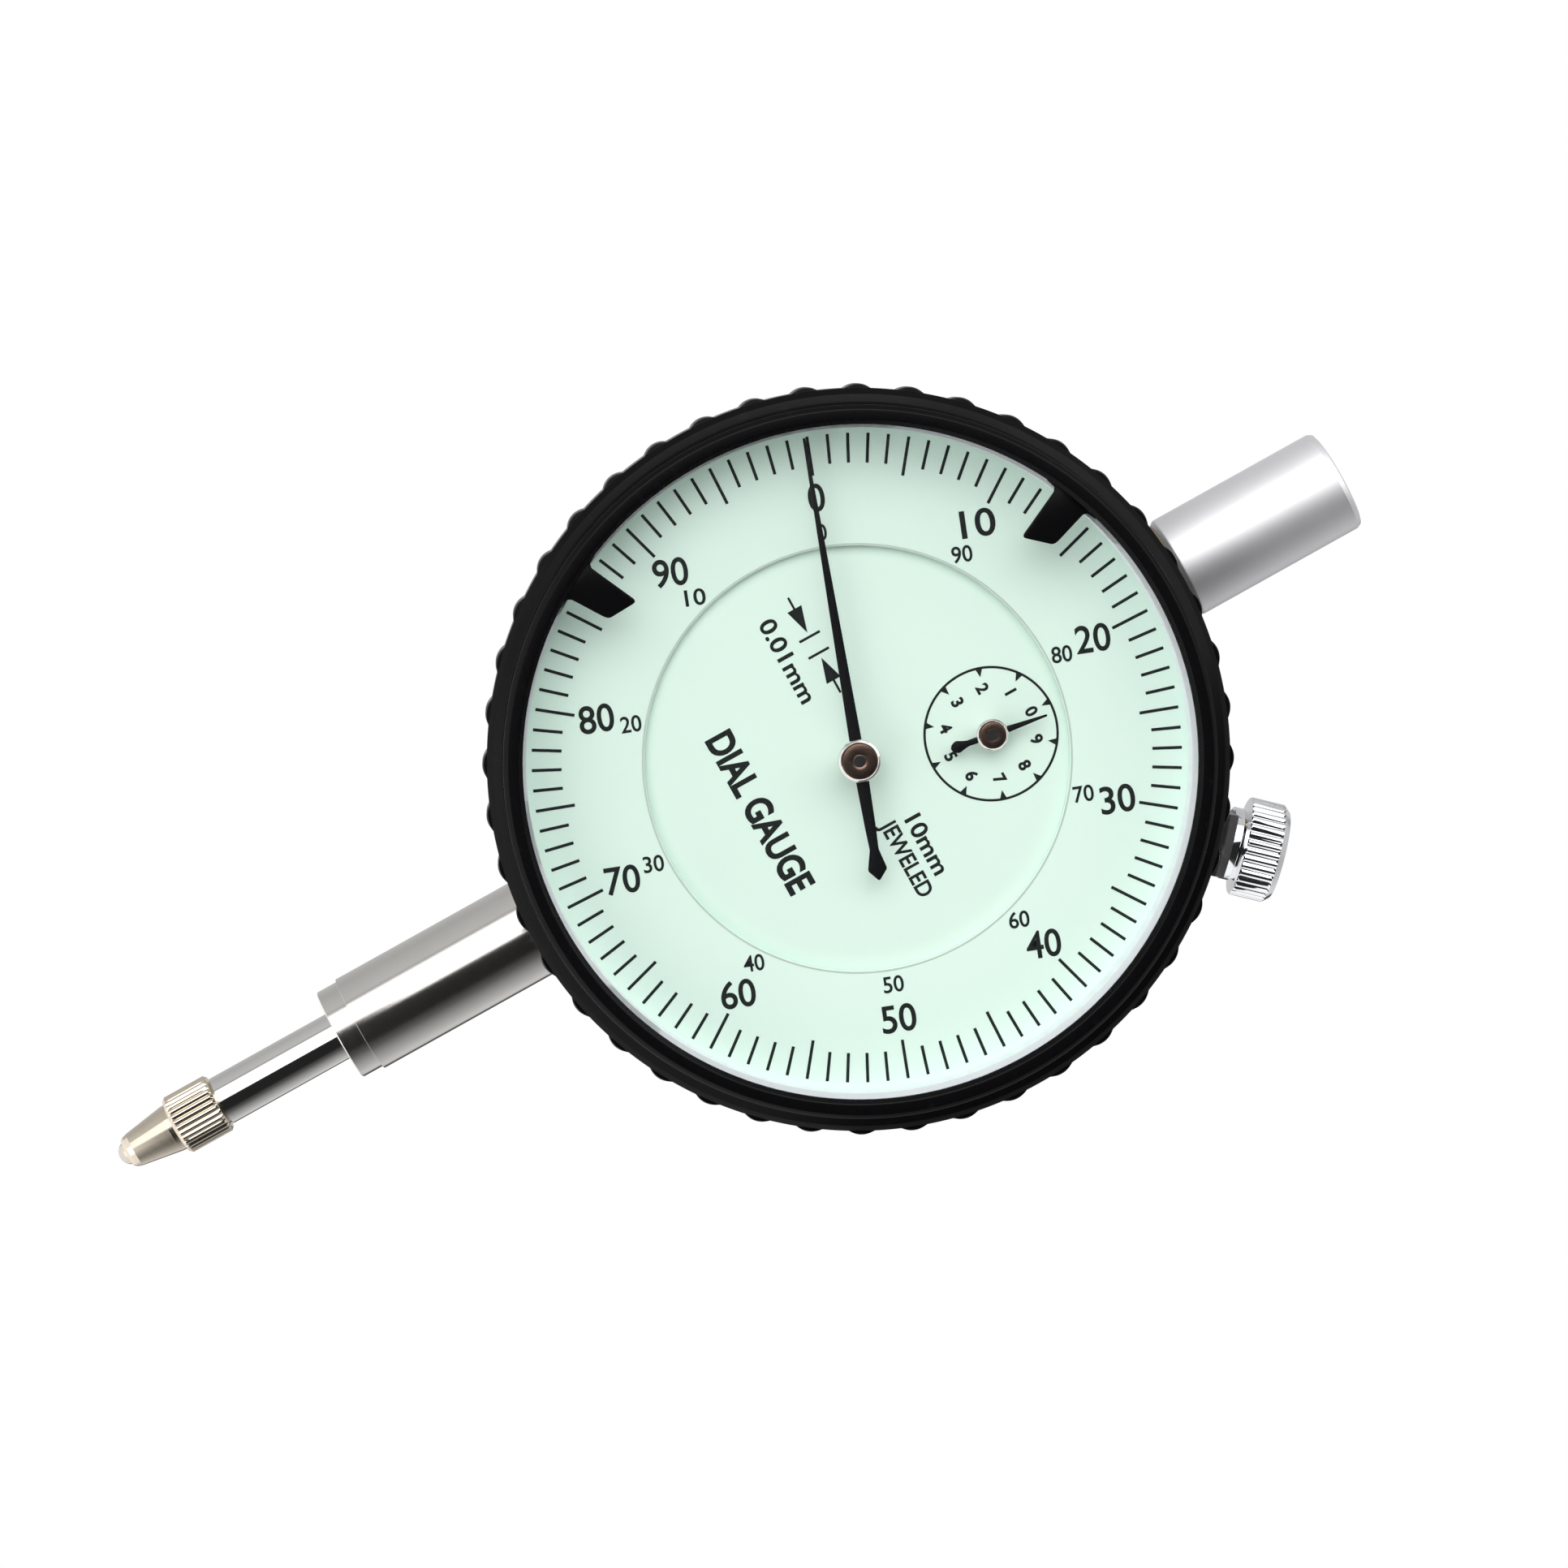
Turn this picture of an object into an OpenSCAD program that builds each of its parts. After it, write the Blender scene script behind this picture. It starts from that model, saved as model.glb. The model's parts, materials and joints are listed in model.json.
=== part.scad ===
// Dial indicator: ten millimetre travel, one turn of the long hand per millimetre.
// Frame: +Z runs up the spindle to the dust cap, the dial faces -Y, +X is the dial's right.
// The origin is the middle of the clamping stem, on the spindle's axis.

/* [Bezel] */
// Diameter over the bezel's grip lobes
bezel_d = 58; // [57.8:0.1:59]
// Diameter of the window in the bezel's front lip
window_d = 51.8; // [51.7:0.05:52]
// Number of grip lobes round the bezel
lobe_count = 44; // [36:1:50]
// Height of each grip lobe above the bezel's rim
lobe_h = 0.35; // [0.2:0.05:0.45]

/* [Stem and spindle] */
// Diameter of the clamping stem
stem_d = 8; // [7.6:0.1:8.2]
// Length of the stem's straight clamping wall
stem_l = 17.6; // [15:0.1:18]
// Diameter of the spindle
spindle_d = 4; // [3.96:0.01:4.04]
// Length of spindle that shows between stem and contact point
spindle_free_l = 10.9; // [10.8:0.1:14]
// Radial clearance of the spindle in its bushings
spindle_gap = 0.03; // [0.02:0.01:0.05]

/* [Dust cap and contact point] */
// Diameter of the dust cap
cap_d = 8.4; // [8.2:0.1:8.6]
// Length of the dust cap
cap_l = 14.8; // [14.5:0.1:18]
// Length of the contact point from its collar to the ball's tip
contact_l = 9; // [8.5:0.1:11]
// Number of knurl grooves on the contact point's collar
contact_grooves = 24; // [16:1:30]

/* [Case] */
// Diameter of the case's barrel
case_d = 54; // [54:0.1:54.4]
// Depth of the case behind the dial axis, to the cover's face
case_back = 6.5; // [6:0.1:8]
// Diameter of the hole in the back lug
lug_hole_d = 6.5; // [6:0.1:7]
// Thickness of the back lug
lug_t = 5; // [4:0.1:6]

/* [Bezel clamp] */
// Angle of the clamp knob, clockwise from the dust cap
clamp_angle = 42.8; // [38:0.1:50]
// Diameter of the clamp knob
knob_d = 7.9; // [7:0.1:8.4]
// Number of knurl grooves on the clamp knob
knob_grooves = 36; // [20:1:40]

/* [Pointers and limit markers] */
// Angle of the long hand and of the dial's zero, counter-clockwise from the dust cap
hand_angle = 69.6; // [0:0.1:360]
// Angle of the short hand, counter-clockwise from the dust cap
small_hand_angle = -9.5; // [-20:0.1:20]
// Angle of the right-hand limit marker, counter-clockwise from the dust cap
right_marker_angle = 22.4; // [15:0.1:60]
// Angle of the left-hand limit marker, counter-clockwise from the dust cap
left_marker_angle = 118.2; // [80:0.1:160]

/* [Hidden] */
$fn = 96;

// Radii of the case and bezel
bezel_r = bezel_d / 2;
rim_r = bezel_r - lobe_h;
window_r = window_d / 2;
case_r = case_d / 2;
spigot_r = 26.2;
bezel_bore_r = 26.25;
cavity_r = 24.8;
skirt_r = 28.2;
front_ring_r = 27.4;
lobe_r = 1.6;
seat_bore_r = 26.95;
ring_groove_r = 26.6;
ring_in_r = 25.6;
spacer_in_r = 25.66;
outer_dial_in_r = 16.5;
inner_dial_r = 17;
dial_seat_in_r = 14.5;
spigot_in_r = 24.9;

// Depths, from the front (most negative) to the back
lip_front = -14.6;
lip_back = -14;
crystal_front = -13.5;
crystal_back = -12.5;
grip_front = -12.4;
outer_dial_front = -9.5;
outer_dial_back = -9;
inner_dial_front = -8.9;
inner_dial_back = -8.4;
spigot_front = -8.7;
ring_groove_front = -7.95;
ring_groove_back = -7.35;
grip_back = -7.7;
floor_front = -7.6;
bezel_back = -6.7;
shoulder = -6.6;
floor_back = -6.4;
gear_front = -5.9;
gear_back = -5.1;
bridge_front = -3.4;
bridge_back = -2.3;
pinion_bridge_front = 2.6;
pinion_bridge_back = 3.6;
gasket_t = 0.2;
cover_front = case_back + gasket_t;
cover_back = cover_front + 1.3;

// Heights along the spindle, measured from the dial's centre
seat_r = 26.7;
dial_z = stem_l / 2 + seat_r;
stem_r = stem_d / 2;
shank_r = 3.5;
stem_bore_r = 2.6;
stem_wall_end = -seat_r - stem_l;
stem_end = stem_wall_end - 1.8;
end_band_r = stem_r - 0.2;
stem_face_r = stem_r + 1.2;
spindle_r = spindle_d / 2;
bushing_r = spindle_r + spindle_gap;
spindle_bottom = stem_end - spindle_free_l;
spindle_top = 31.8;
tip_thread_r = 1.25;
tip_thread_l = 5.5;
cap_bottom = 29.3;
cap_top = cap_bottom + cap_l;
cap_thread_r = 3.2;
neck_top = 34;
neck_r = 3;
flange_r = 3.7;
fit_gap = 0.05;
collar_r = 2.45;
collar_l = 3.9;
neck_point_r = 1.95;
ball_r = 1;

// Gear train: rack and 16-tooth pinion, 100-tooth gears, 10-tooth centre pinion
rack_pitch = 0.625;
rack_teeth = 16;
gear_teeth = 100;
centre_teeth = 10;
rack_pinion_r = rack_pitch * rack_teeth / (2 * PI);
rack_at = [-3.4, -10];
take_up_at = [3.4, 10];
centre_at = [0, 0];
gear_module = 2 * norm(take_up_at) / (gear_teeth + centre_teeth);
pitch_line_x = rack_at[0] + rack_pinion_r;
arbor_r = 0.45;
pivot_r = 0.25;
pivot_gap = 0.02;
jewel_r = 1.1;
heavy_arbor_r = 0.7;

// Places of the posts and screws in the case, seen from the front
pillars = [[-14, 5], [14, -5], [-9, 15.5], [9, -15.5]];
pinion_pillars = [[-8.5, -14.5], [-8.5, -5.5]];
cover_screw_angles = [20, 160, 200, 340];
cover_screw_ring = 23.4;
cover_screws_at = [for (a = cover_screw_angles) cover_screw_ring * [cos(a), sin(a)]];
dial_feet = [[-15.75, 0], [15.75, 0]];
rail_x = 4.1;
rail_screws_at = [[rail_x, -10.2], [rail_x, 13.2]];
anchor_at = [6.3, -20];
guide_pin_z = -6;
guide_pin_r = 0.7;
guide_pin_start = 1.2;
post_r = 1.5;
stud_r = 0.8;
screw_r = 0.7;
head_r = 1.3;
head_t = 0.7;
slot_w = 0.35;
cover_boss_r = 2;
cover_hole_tip = 1;
cover_head_r = 1.65;
counterbore_r = 1.7;
cover_chamfer = 0.5;
pad_r = 9.4;
pad_t = 0.5;
dial_foot_r = 0.6;
anchor_stud_r = 0.6;
rail_screw_r = 0.6;
stud_l = 0.8;
screw_l = 1.7;
ring_clearance = 0.05;
cut = 1;
lug_r = 6.5;
lug_y = cover_back + 8;
clamp_y = -1.5;
clamp_w = 5;
clamp_front = -7.5;
clamp_back = 3.2;
clamp_outer_r = 30.5;
clamp_chamfer = 1;
clamp_screw_r = 1.2;
clamp_screw_start = 22.9;
clamp_boss_r = 2.4;
clamp_boss_start = 22.6;
clamp_boss_l = 3;
knob_r = knob_d / 2;
knob_start = 31.7;
knob_neck_r = 2.9;
knob_l = 3.2;

// A shape drawn in the dial's plane, as seen from the front, given depth
module dial_plate(front, back) {
    translate([0, back, dial_z]) rotate([90, 0, 0]) linear_extrude(back - front) children();
}
// A round rod along the dial's axis
module rod_y(r, front, back, at = [0, 0]) {
    translate([at[0], front, dial_z + at[1]]) rotate([-90, 0, 0]) cylinder(r = r, h = back - front);
}
// A profile of [radius, depth] points turned about the dial's axis, or an arbor beside it
module turn_y(points, at = [0, 0]) {
    translate([at[0], 0, dial_z + at[1]]) rotate([-90, 0, 0]) rotate_extrude() polygon(points);
}
// A profile of [radius, height from the dial's centre] points turned about the spindle
module turn_z(points) {
    translate([0, 0, dial_z]) rotate_extrude() polygon(points);
}
// Places children out along the clamp knob's axis
module at_clamp() {
    translate([0, clamp_y, dial_z]) rotate([0, clamp_angle, 0]) children();
}
// The clamp screw's way through the case and the clamp plate
module clamp_hole() {
    translate([0, 0, clamp_boss_start - cut])
        cylinder(r = clamp_screw_r + fit_gap, h = clamp_outer_r - clamp_boss_start + 2 * cut);
}
// A slotted screw along the dial's axis, with its head at the back
module screw_y(at, tip, seat, r = screw_r, hr = head_r, ht = head_t) {
    difference() {
        union() {
            rod_y(r, tip, seat, at);
            rod_y(hr, seat, seat + ht, at);
        }
        translate([at[0] - hr, seat + ht * 0.5, dial_z + at[1] - slot_w / 2]) cube([2 * hr, ht, slot_w]);
    }
}
// Outline of a spur gear: each tooth is a flank up, a tip, and a flank down
module gear_outline(teeth, pitch_r, rise, drop, half_tip, half_pitch, half_root) {
    function spot(r, w, a) = [r * sin(a) + w * cos(a), r * cos(a) - w * sin(a)];
    polygon([for (i = [0:teeth - 1], k = [[-drop, -half_root], [rise, -half_tip], [rise, half_tip],
        [-drop, half_root]]) spot(pitch_r + k[0], k[1], i * 360 / teeth)]);
}
// Outline of the 100-tooth gears, with four lightening holes
module big_gear_outline(bore_r) {
    difference() {
        gear_outline(gear_teeth, gear_module * gear_teeth / 2, 0.15, 0.24, 0.08, 0.13, 0.2);
        circle(r = bore_r);
        for (a = [45:90:315]) rotate(a) translate([5.6, 0]) circle(r = 2.5);
    }
}

// ---- Case body ----
module case() {
    color("#1c1c1e") difference() {
        union() {
            turn_y([[0, floor_front], [dial_seat_in_r, floor_front], [dial_seat_in_r, inner_dial_back],
                [inner_dial_r, inner_dial_back], [inner_dial_r, floor_front], [spigot_in_r, floor_front],
                [spigot_in_r, spigot_front], [spigot_r, spigot_front], [spigot_r, ring_groove_front],
                [ring_in_r, ring_groove_front], [ring_in_r, ring_groove_back], [spigot_r, ring_groove_back],
                [spigot_r, shoulder], [case_r, shoulder], [case_r, case_back], [cavity_r, case_back],
                [cavity_r, floor_back], [0, floor_back]]);
            for (at = cover_screws_at) rod_y(cover_boss_r, floor_back, cover_front, at);
            at_clamp() translate([0, 0, clamp_boss_start]) cylinder(r = clamp_boss_r, h = clamp_boss_l);
        }
        for (at = cover_screws_at) rod_y(stud_r, cover_hole_tip, cover_front + cut, at);
        for (at = [centre_at, rack_at, take_up_at]) rod_y(jewel_r, floor_front - cut, floor_back + cut, at);
        for (at = dial_feet) rod_y(dial_foot_r, inner_dial_back - cut, floor_front + dial_foot_r, at);
        for (at = pillars) rod_y(stud_r, floor_back - stud_l, floor_back + cut, at);
        rod_y(anchor_stud_r, floor_back - stud_l, floor_back + cut, anchor_at);
        turn_z([[0, -cavity_r + 2 * cut], [shank_r, -cavity_r + 2 * cut], [shank_r, -seat_r],
            [stem_face_r, -seat_r], [stem_face_r, -case_r - cut], [0, -case_r - cut]]);
        turn_z([[0, cavity_r - 2 * cut], [neck_r, cavity_r - 2 * cut], [neck_r, seat_r],
            [flange_r + fit_gap, seat_r], [flange_r + fit_gap, case_r + cut], [0, case_r + cut]]);
        at_clamp() clamp_hole();
    }
}
module back_cover() {
    color("#242427") difference() {
        union() {
            turn_y([[0, cover_front], [case_r, cover_front], [case_r, cover_back - cover_chamfer],
                [case_r - cover_chamfer, cover_back], [pad_r, cover_back],
                [pad_r - 0.4, cover_back + pad_t], [0, cover_back + pad_t]]);
            translate([-lug_t / 2, 0, dial_z]) rotate([90, 0, 90]) linear_extrude(lug_t) {
                translate([lug_y, 0]) circle(r = lug_r);
                translate([cover_back, -lug_r]) square([lug_y - cover_back, 2 * lug_r]);
            }
        }
        translate([-lug_t, lug_y, dial_z]) rotate([0, 90, 0]) cylinder(d = lug_hole_d, h = 2 * lug_t);
        for (at = cover_screws_at) {
            rod_y(stud_r, cover_front - cut, cover_back + cut, at);
            rod_y(counterbore_r, cover_back - head_t, cover_back + cut, at);
        }
    }
}
module back_cover_screws() {
    color("#b9bcc0") for (at = cover_screws_at)
        screw_y(at, cover_hole_tip + 0.5, cover_back - head_t, stud_r, cover_head_r, head_t - 0.05);
}
module back_gasket() {
    color("#101010") turn_y([[25.5, case_back], [case_r - 0.3, case_back], [case_r - 0.3, cover_front],
        [25.5, cover_front]]);
}
module stem() {
    color("#c9c7c2") turn_z([[stem_bore_r, -cavity_r], [shank_r, -cavity_r], [shank_r, -seat_r],
        [stem_r, -seat_r], [stem_r, stem_wall_end], [end_band_r, stem_wall_end],
        [end_band_r, stem_end + 0.5], [end_band_r - 0.15, stem_end + 0.15], [end_band_r - 0.5, stem_end],
        [stem_bore_r, stem_end]]);
}
module stem_bushings() {
    color("#b5895a") for (low = [stem_end + 0.1, -32.5])
        turn_z([[bushing_r, low], [stem_bore_r, low], [stem_bore_r, low + 7], [bushing_r, low + 7]]);
}
module upper_bushing() {
    color("#c8a765") turn_z([[bushing_r, cavity_r - 0.3], [neck_r, cavity_r - 0.3], [neck_r, seat_r],
        [flange_r, seat_r], [flange_r, cap_bottom], [cap_thread_r, cap_bottom], [cap_thread_r, neck_top],
        [bushing_r, neck_top]]);
}
module dust_cap() {
    color("#cfd0d2") turn_z([[cap_thread_r, cap_bottom], [cap_d / 2 - 0.35, cap_bottom],
        [cap_d / 2, cap_bottom + 0.5], [cap_d / 2, cap_top - 0.45], [cap_d / 2 - 0.15, cap_top - 0.12],
        [cap_d / 2 - 0.5, cap_top], [0, cap_top], [0, cap_top - 1.1], [2.9, cap_top - 1.1],
        [2.9, neck_top + 0.3], [cap_thread_r, neck_top + 0.3]]);
}
module spindle_buffer() {
    color("#e8e6dd") turn_z([[bushing_r + 0.15, -cavity_r], [3.4, -cavity_r], [3.4, -cavity_r + 0.5],
        [bushing_r + 0.15, -cavity_r + 0.5]]);
}
module gear_bridge() {
    color("#c9a24b") dial_plate(bridge_front, bridge_back) difference() {
        intersection() {
            circle(r = 19.4);
            square([33.4, 44], center = true);
        }
        translate(rack_at) circle(r = 2);
        for (at = [centre_at, take_up_at]) translate(at) circle(r = jewel_r);
        for (at = pillars) translate(at) circle(r = screw_r);
        for (at = pinion_pillars) translate(at) circle(r = screw_r);
        for (at = rail_screws_at) translate(at) circle(r = rail_screw_r);
        for (side = [-1, 1]) translate(side * [9.4, -8.4]) circle(r = 3.6);
    }
}
module bridge_pillars() {
    color("#c9a24b") for (at = pillars) difference() {
        union() {
            rod_y(stud_r, floor_back - stud_l, floor_back, at);
            rod_y(post_r, floor_back, bridge_front, at);
        }
        rod_y(screw_r, bridge_front - screw_l - 0.1, bridge_front + cut, at);
    }
}
module bridge_screws() {
    color("#4f5b6e") for (at = pillars) screw_y(at, bridge_front - screw_l, bridge_back);
}
module pinion_bridge() {
    color("#c9a24b") dial_plate(pinion_bridge_front, pinion_bridge_back) difference() {
        union() {
            for (at = pinion_pillars) translate(at) circle(r = 1.9);
            translate([-10.4, -14.5]) square([3.8, 9]);
            translate([-8.5, -12]) square([5.1, 4]);
            translate(rack_at) circle(r = 2);
        }
        translate(rack_at) circle(r = jewel_r);
        for (at = pinion_pillars) translate(at) circle(r = screw_r);
    }
}
module pinion_bridge_pillars() {
    color("#c9a24b") for (at = pinion_pillars) difference() {
        union() {
            rod_y(screw_r, bridge_front, bridge_back, at);
            rod_y(post_r, bridge_back, pinion_bridge_front, at);
        }
        rod_y(screw_r, pinion_bridge_front - screw_l - 0.1, pinion_bridge_front + cut, at);
    }
}
module pinion_bridge_screws() {
    color("#4f5b6e") for (at = pinion_pillars)
        screw_y(at, pinion_bridge_front - screw_l, pinion_bridge_back);
}
module jewel(at, front, back, bore_r) {
    turn_y([[bore_r, front], [jewel_r, front], [jewel_r, back], [bore_r, back]], at);
}
module front_jewels() {
    color("#c2213f") {
        jewel(centre_at, floor_front, floor_back, arbor_r + pivot_gap);
        jewel(take_up_at, floor_front, floor_back, arbor_r + pivot_gap);
        jewel(rack_at, floor_front, floor_back, pivot_r + pivot_gap);
    }
}
module rear_jewels() {
    color("#c2213f") {
        jewel(centre_at, bridge_front, bridge_back, pivot_r + pivot_gap);
        jewel(take_up_at, bridge_front, bridge_back, pivot_r + pivot_gap);
        jewel(rack_at, pinion_bridge_front, pinion_bridge_back, pivot_r + pivot_gap);
    }
}
module guide_rail() {
    color("#b8b8b4") difference() {
        union() {
            translate([rail_x - 0.8, bridge_back, dial_z - 8.5]) cube([1.6, 3.9, 16]);
            translate([rail_x - 0.8, bridge_back, dial_z - 11.8]) cube([1.6, 1, 26.4]);
        }
        translate([rail_x - 2, -0.72, dial_z - 6.8]) cube([4, 1.44, 12.3]);
        for (at = rail_screws_at) rod_y(rail_screw_r, bridge_back - cut, bridge_back + 2 * cut, at);
    }
}
module guide_rail_screws() {
    color("#4f5b6e") for (at = rail_screws_at)
        screw_y(at, bridge_front, bridge_back + 1, rail_screw_r, 1.1, 0.6);
}
module spring_anchor() {
    color("#b9bcc0") turn_y([[0, floor_back - stud_l], [anchor_stud_r, floor_back - stud_l],
        [anchor_stud_r, floor_back],
        [0.9, floor_back], [0.9, -0.4], [0.6, -0.2], [0.6, 0.2], [0.9, 0.4], [0.9, 1.3], [0, 1.3]],
        anchor_at);
}
// Return spring: wire swept along a helix, closed at both ends
spring_turns = 15;
spring_steps = 10;
spring_coil_r = 0.8;
spring_wire_r = 0.13;
spring_low = -19;
spring_high = guide_pin_z - 0.85;
module return_spring() {
    sides = 6;
    rings = spring_turns * spring_steps;
    rise = (spring_high - spring_low) / rings;
    points = [for (i = [0:rings], k = [0:sides - 1])
        let (turn = i * 360 / spring_steps, out = spring_coil_r + spring_wire_r * cos(k * 360 / sides))
        [out * cos(turn), out * sin(turn), spring_low + i * rise + spring_wire_r * sin(k * 360 / sides)]];
    walls = [for (i = [0:rings - 1], k = [0:sides - 1]) let (n = (k + 1) % sides)
        [i * sides + k, (i + 1) * sides + k, (i + 1) * sides + n, i * sides + n]];
    start = [for (k = [0:sides - 1]) k];
    end = [for (k = [sides - 1:-1:0]) rings * sides + k];
    color("#8d8f94") translate([anchor_at[0], 0, dial_z]) polyhedron(points, concat([start], walls, [end]));
}
// Hairspring: a flat spiral strip round the take-up arbor
spiral_turns = 6;
spiral_steps = 24;
spiral_in_r = 1.35;
spiral_out_r = 6;
spiral_t = 0.14;
module hairspring() {
    count = spiral_turns * spiral_steps;
    function reach(i) = spiral_in_r + (spiral_out_r - spiral_in_r) * i / count;
    function spot(i, d) = (reach(i) + d) * [cos(i * 360 / spiral_steps), sin(i * 360 / spiral_steps)];
    color("#6b7fa3") dial_plate(-4.8, -4.35) translate(take_up_at) polygon(concat(
        [for (i = [0:count]) spot(i, spiral_t / 2)], [for (i = [count:-1:0]) spot(i, -spiral_t / 2)]));
}
module hairspring_stud() {
    color("#c9a24b") rod_y(0.5, -5, bridge_front, take_up_at + [spiral_out_r + spiral_t / 2 + 0.5, 0]);
}
module inner_dial() {
    color("#dcf2e4") {
        dial_plate(inner_dial_front, inner_dial_back) difference() {
            circle(r = inner_dial_r);
            for (at = [centre_at, take_up_at]) translate(at) circle(r = 0.8);
        }
        for (at = dial_feet) rod_y(dial_foot_r, inner_dial_back, floor_front + dial_foot_r, at);
    }
}
module bezel_snap_ring() {
    color("#9a9ca0") dial_plate(ring_groove_front, ring_groove_back) difference() {
        circle(r = ring_groove_r - ring_clearance);
        circle(r = ring_in_r);
        translate([0, -26]) square([5, 5], center = true);
    }
}

// ---- Bezel body ----
module bezel() {
    color("#0b0b0c") {
        turn_y([[window_r, lip_back], [window_r, lip_front + 0.35], [window_r + 0.3, lip_front],
            [front_ring_r - 0.3, lip_front], [front_ring_r, lip_front + 0.35],
            [front_ring_r, grip_front], [rim_r - 0.5, grip_front], [rim_r - 0.5, grip_back],
            [skirt_r, grip_back], [skirt_r, bezel_back], [bezel_bore_r, bezel_back],
            [bezel_bore_r, ring_groove_back + ring_clearance],
            [ring_groove_r, ring_groove_back + ring_clearance],
            [ring_groove_r, ring_groove_front - ring_clearance],
            [bezel_bore_r, ring_groove_front - ring_clearance], [bezel_bore_r, crystal_front],
            [seat_bore_r, crystal_front], [seat_bore_r, lip_back]]);
        intersection() {
            dial_plate(grip_front, grip_back) difference() {
                union() {
                    circle(r = rim_r);
                    for (i = [0:lobe_count - 1]) rotate((i + 0.5) * 360 / lobe_count)
                        translate([bezel_r - lobe_r, 0]) circle(r = lobe_r);
                }
                circle(r = rim_r - 0.6);
            }
            turn_y([[0, grip_front], [rim_r - 0.4, grip_front], [bezel_r + 0.1, grip_front + 0.7],
                [bezel_r + 0.1, grip_back - 0.4], [bezel_r - 0.4, grip_back], [0, grip_back]]);
        }
    }
}
module crystal() {
    color([0.9, 0.95, 0.97, 0.25]) rod_y(bezel_bore_r, crystal_front, crystal_back);
}
module crystal_spacer() {
    color("#eef2f2") turn_y([[spacer_in_r, crystal_back], [bezel_bore_r, crystal_back],
        [bezel_bore_r, outer_dial_front], [spacer_in_r, outer_dial_front]]);
}
module outer_dial() {
    color("#dcf2e4") turn_y([[outer_dial_in_r, outer_dial_front], [bezel_bore_r, outer_dial_front],
        [bezel_bore_r, outer_dial_back], [outer_dial_in_r, outer_dial_back]]);
}

// ---- Limit markers: a foot that runs in the bezel's groove and a tab over the crystal ----
marker_w = 2.9;
marker_end_w = 2.4;
marker_in_r = 21.2;
marker_foot_r = 26.9;
marker_foot_in_r = 25.75;
marker_foot_w = 5;
marker_tab = [[-marker_w / 2, 4.7], [-marker_end_w / 2, 1.4], [0.2 - marker_end_w / 2, 1],
    [marker_end_w / 2 - 0.25, 0], [marker_end_w / 2, 0.3], [marker_w / 2, 4.7]];
module limit_marker(angle, side) {
    color("#060606") dial_plate(lip_back + fit_gap, crystal_front - fit_gap) rotate(angle) {
        intersection() {
            difference() {
                circle(r = marker_foot_r);
                circle(r = marker_foot_in_r);
            }
            translate([-marker_foot_w / 2, 20]) square([marker_foot_w, 10]);
        }
        translate([0, marker_in_r]) polygon(side > 0 ? marker_tab :
            [for (i = [len(marker_tab) - 1:-1:0]) [-marker_tab[i][0], marker_tab[i][1]]]);
    }
}
module limit_marker_left() {
    limit_marker(left_marker_angle, 1);
}
module limit_marker_right() {
    limit_marker(right_marker_angle, -1);
}

// ---- Spindle body ----
module rack_cut() {
    // One tooth space of the rack, cut across the spindle
    translate([pitch_line_x, 3, 0]) rotate([90, 0, 0]) linear_extrude(6)
        polygon([[0.25, -0.085], [0.25, 0.085], [-1.2, 0.62], [-1.2, -0.62]]);
}
module spindle() {
    color("#d4d4d2") difference() {
        turn_z([[0, spindle_bottom], [spindle_r - 0.2, spindle_bottom], [spindle_r, spindle_bottom + 0.2],
            [spindle_r, spindle_top - 0.3], [spindle_r - 0.3, spindle_top], [0, spindle_top]]);
        translate([0, 0, dial_z + spindle_bottom - 1]) cylinder(r = tip_thread_r, h = tip_thread_l + 1);
        for (i = [-18:2]) translate([0, 0, dial_z + rack_at[1] + i * rack_pitch]) rack_cut();
        translate([pitch_line_x - 0.17 - 2, -2, dial_z + rack_at[1] - 18.5 * rack_pitch])
            cube([2, 4, 21 * rack_pitch]);
        translate([-guide_pin_start, 0, dial_z + guide_pin_z]) rotate([0, 90, 0])
            cylinder(r = guide_pin_r, h = 5);
    }
}
module spindle_stop() {
    color("#8f9194") translate([0, 0, dial_z - cavity_r + 0.6]) difference() {
        intersection() {
            cylinder(r = 3, h = 1.2);
            translate([-4, -2.15, -1]) cube([8, 4.3, 4]);
        }
        translate([0, 0, -1]) cylinder(r = spindle_r, h = 4);
    }
}
module guide_pin() {
    color("#b9bcc0") translate([-guide_pin_start, 0, dial_z + guide_pin_z]) rotate([0, 90, 0])
        cylinder(r = guide_pin_r, h = anchor_at[0] + guide_pin_start + 1.3);
}
module contact_point() {
    color("#cdbf9f") translate([0, 0, dial_z + spindle_bottom]) difference() {
        union() {
            rotate_extrude() polygon([[0, tip_thread_l - 0.5], [tip_thread_r, tip_thread_l - 0.5],
                [tip_thread_r, 0], [collar_r - 0.25, 0], [collar_r - 0.25, -4], [neck_point_r, -4],
                [neck_point_r, -4.3], [1.42, -contact_l + 1.3], [1.3, -contact_l + 0.95],
                [1.12, -contact_l + 0.7], [0, -contact_l + 0.7]]);
            intersection() {
                translate([0, 0, -collar_l]) linear_extrude(collar_l - 0.1) difference() {
                    circle(r = collar_r);
                    for (i = [0:contact_grooves - 1]) rotate(i * 360 / contact_grooves)
                        translate([collar_r + 0.05, 0]) circle(r = 0.2);
                }
                rotate_extrude() polygon([[0, 0], [collar_r - 0.15, 0], [collar_r, -0.2],
                    [collar_r, 0.2 - collar_l], [collar_r - 0.15, -collar_l], [0, -collar_l]]);
            }
        }
        translate([0, 0, -contact_l + ball_r]) sphere(r = ball_r);
    }
}
module contact_ball() {
    color("#8f8b84") translate([0, 0, dial_z + spindle_bottom - contact_l + ball_r]) sphere(r = ball_r);
}

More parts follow.
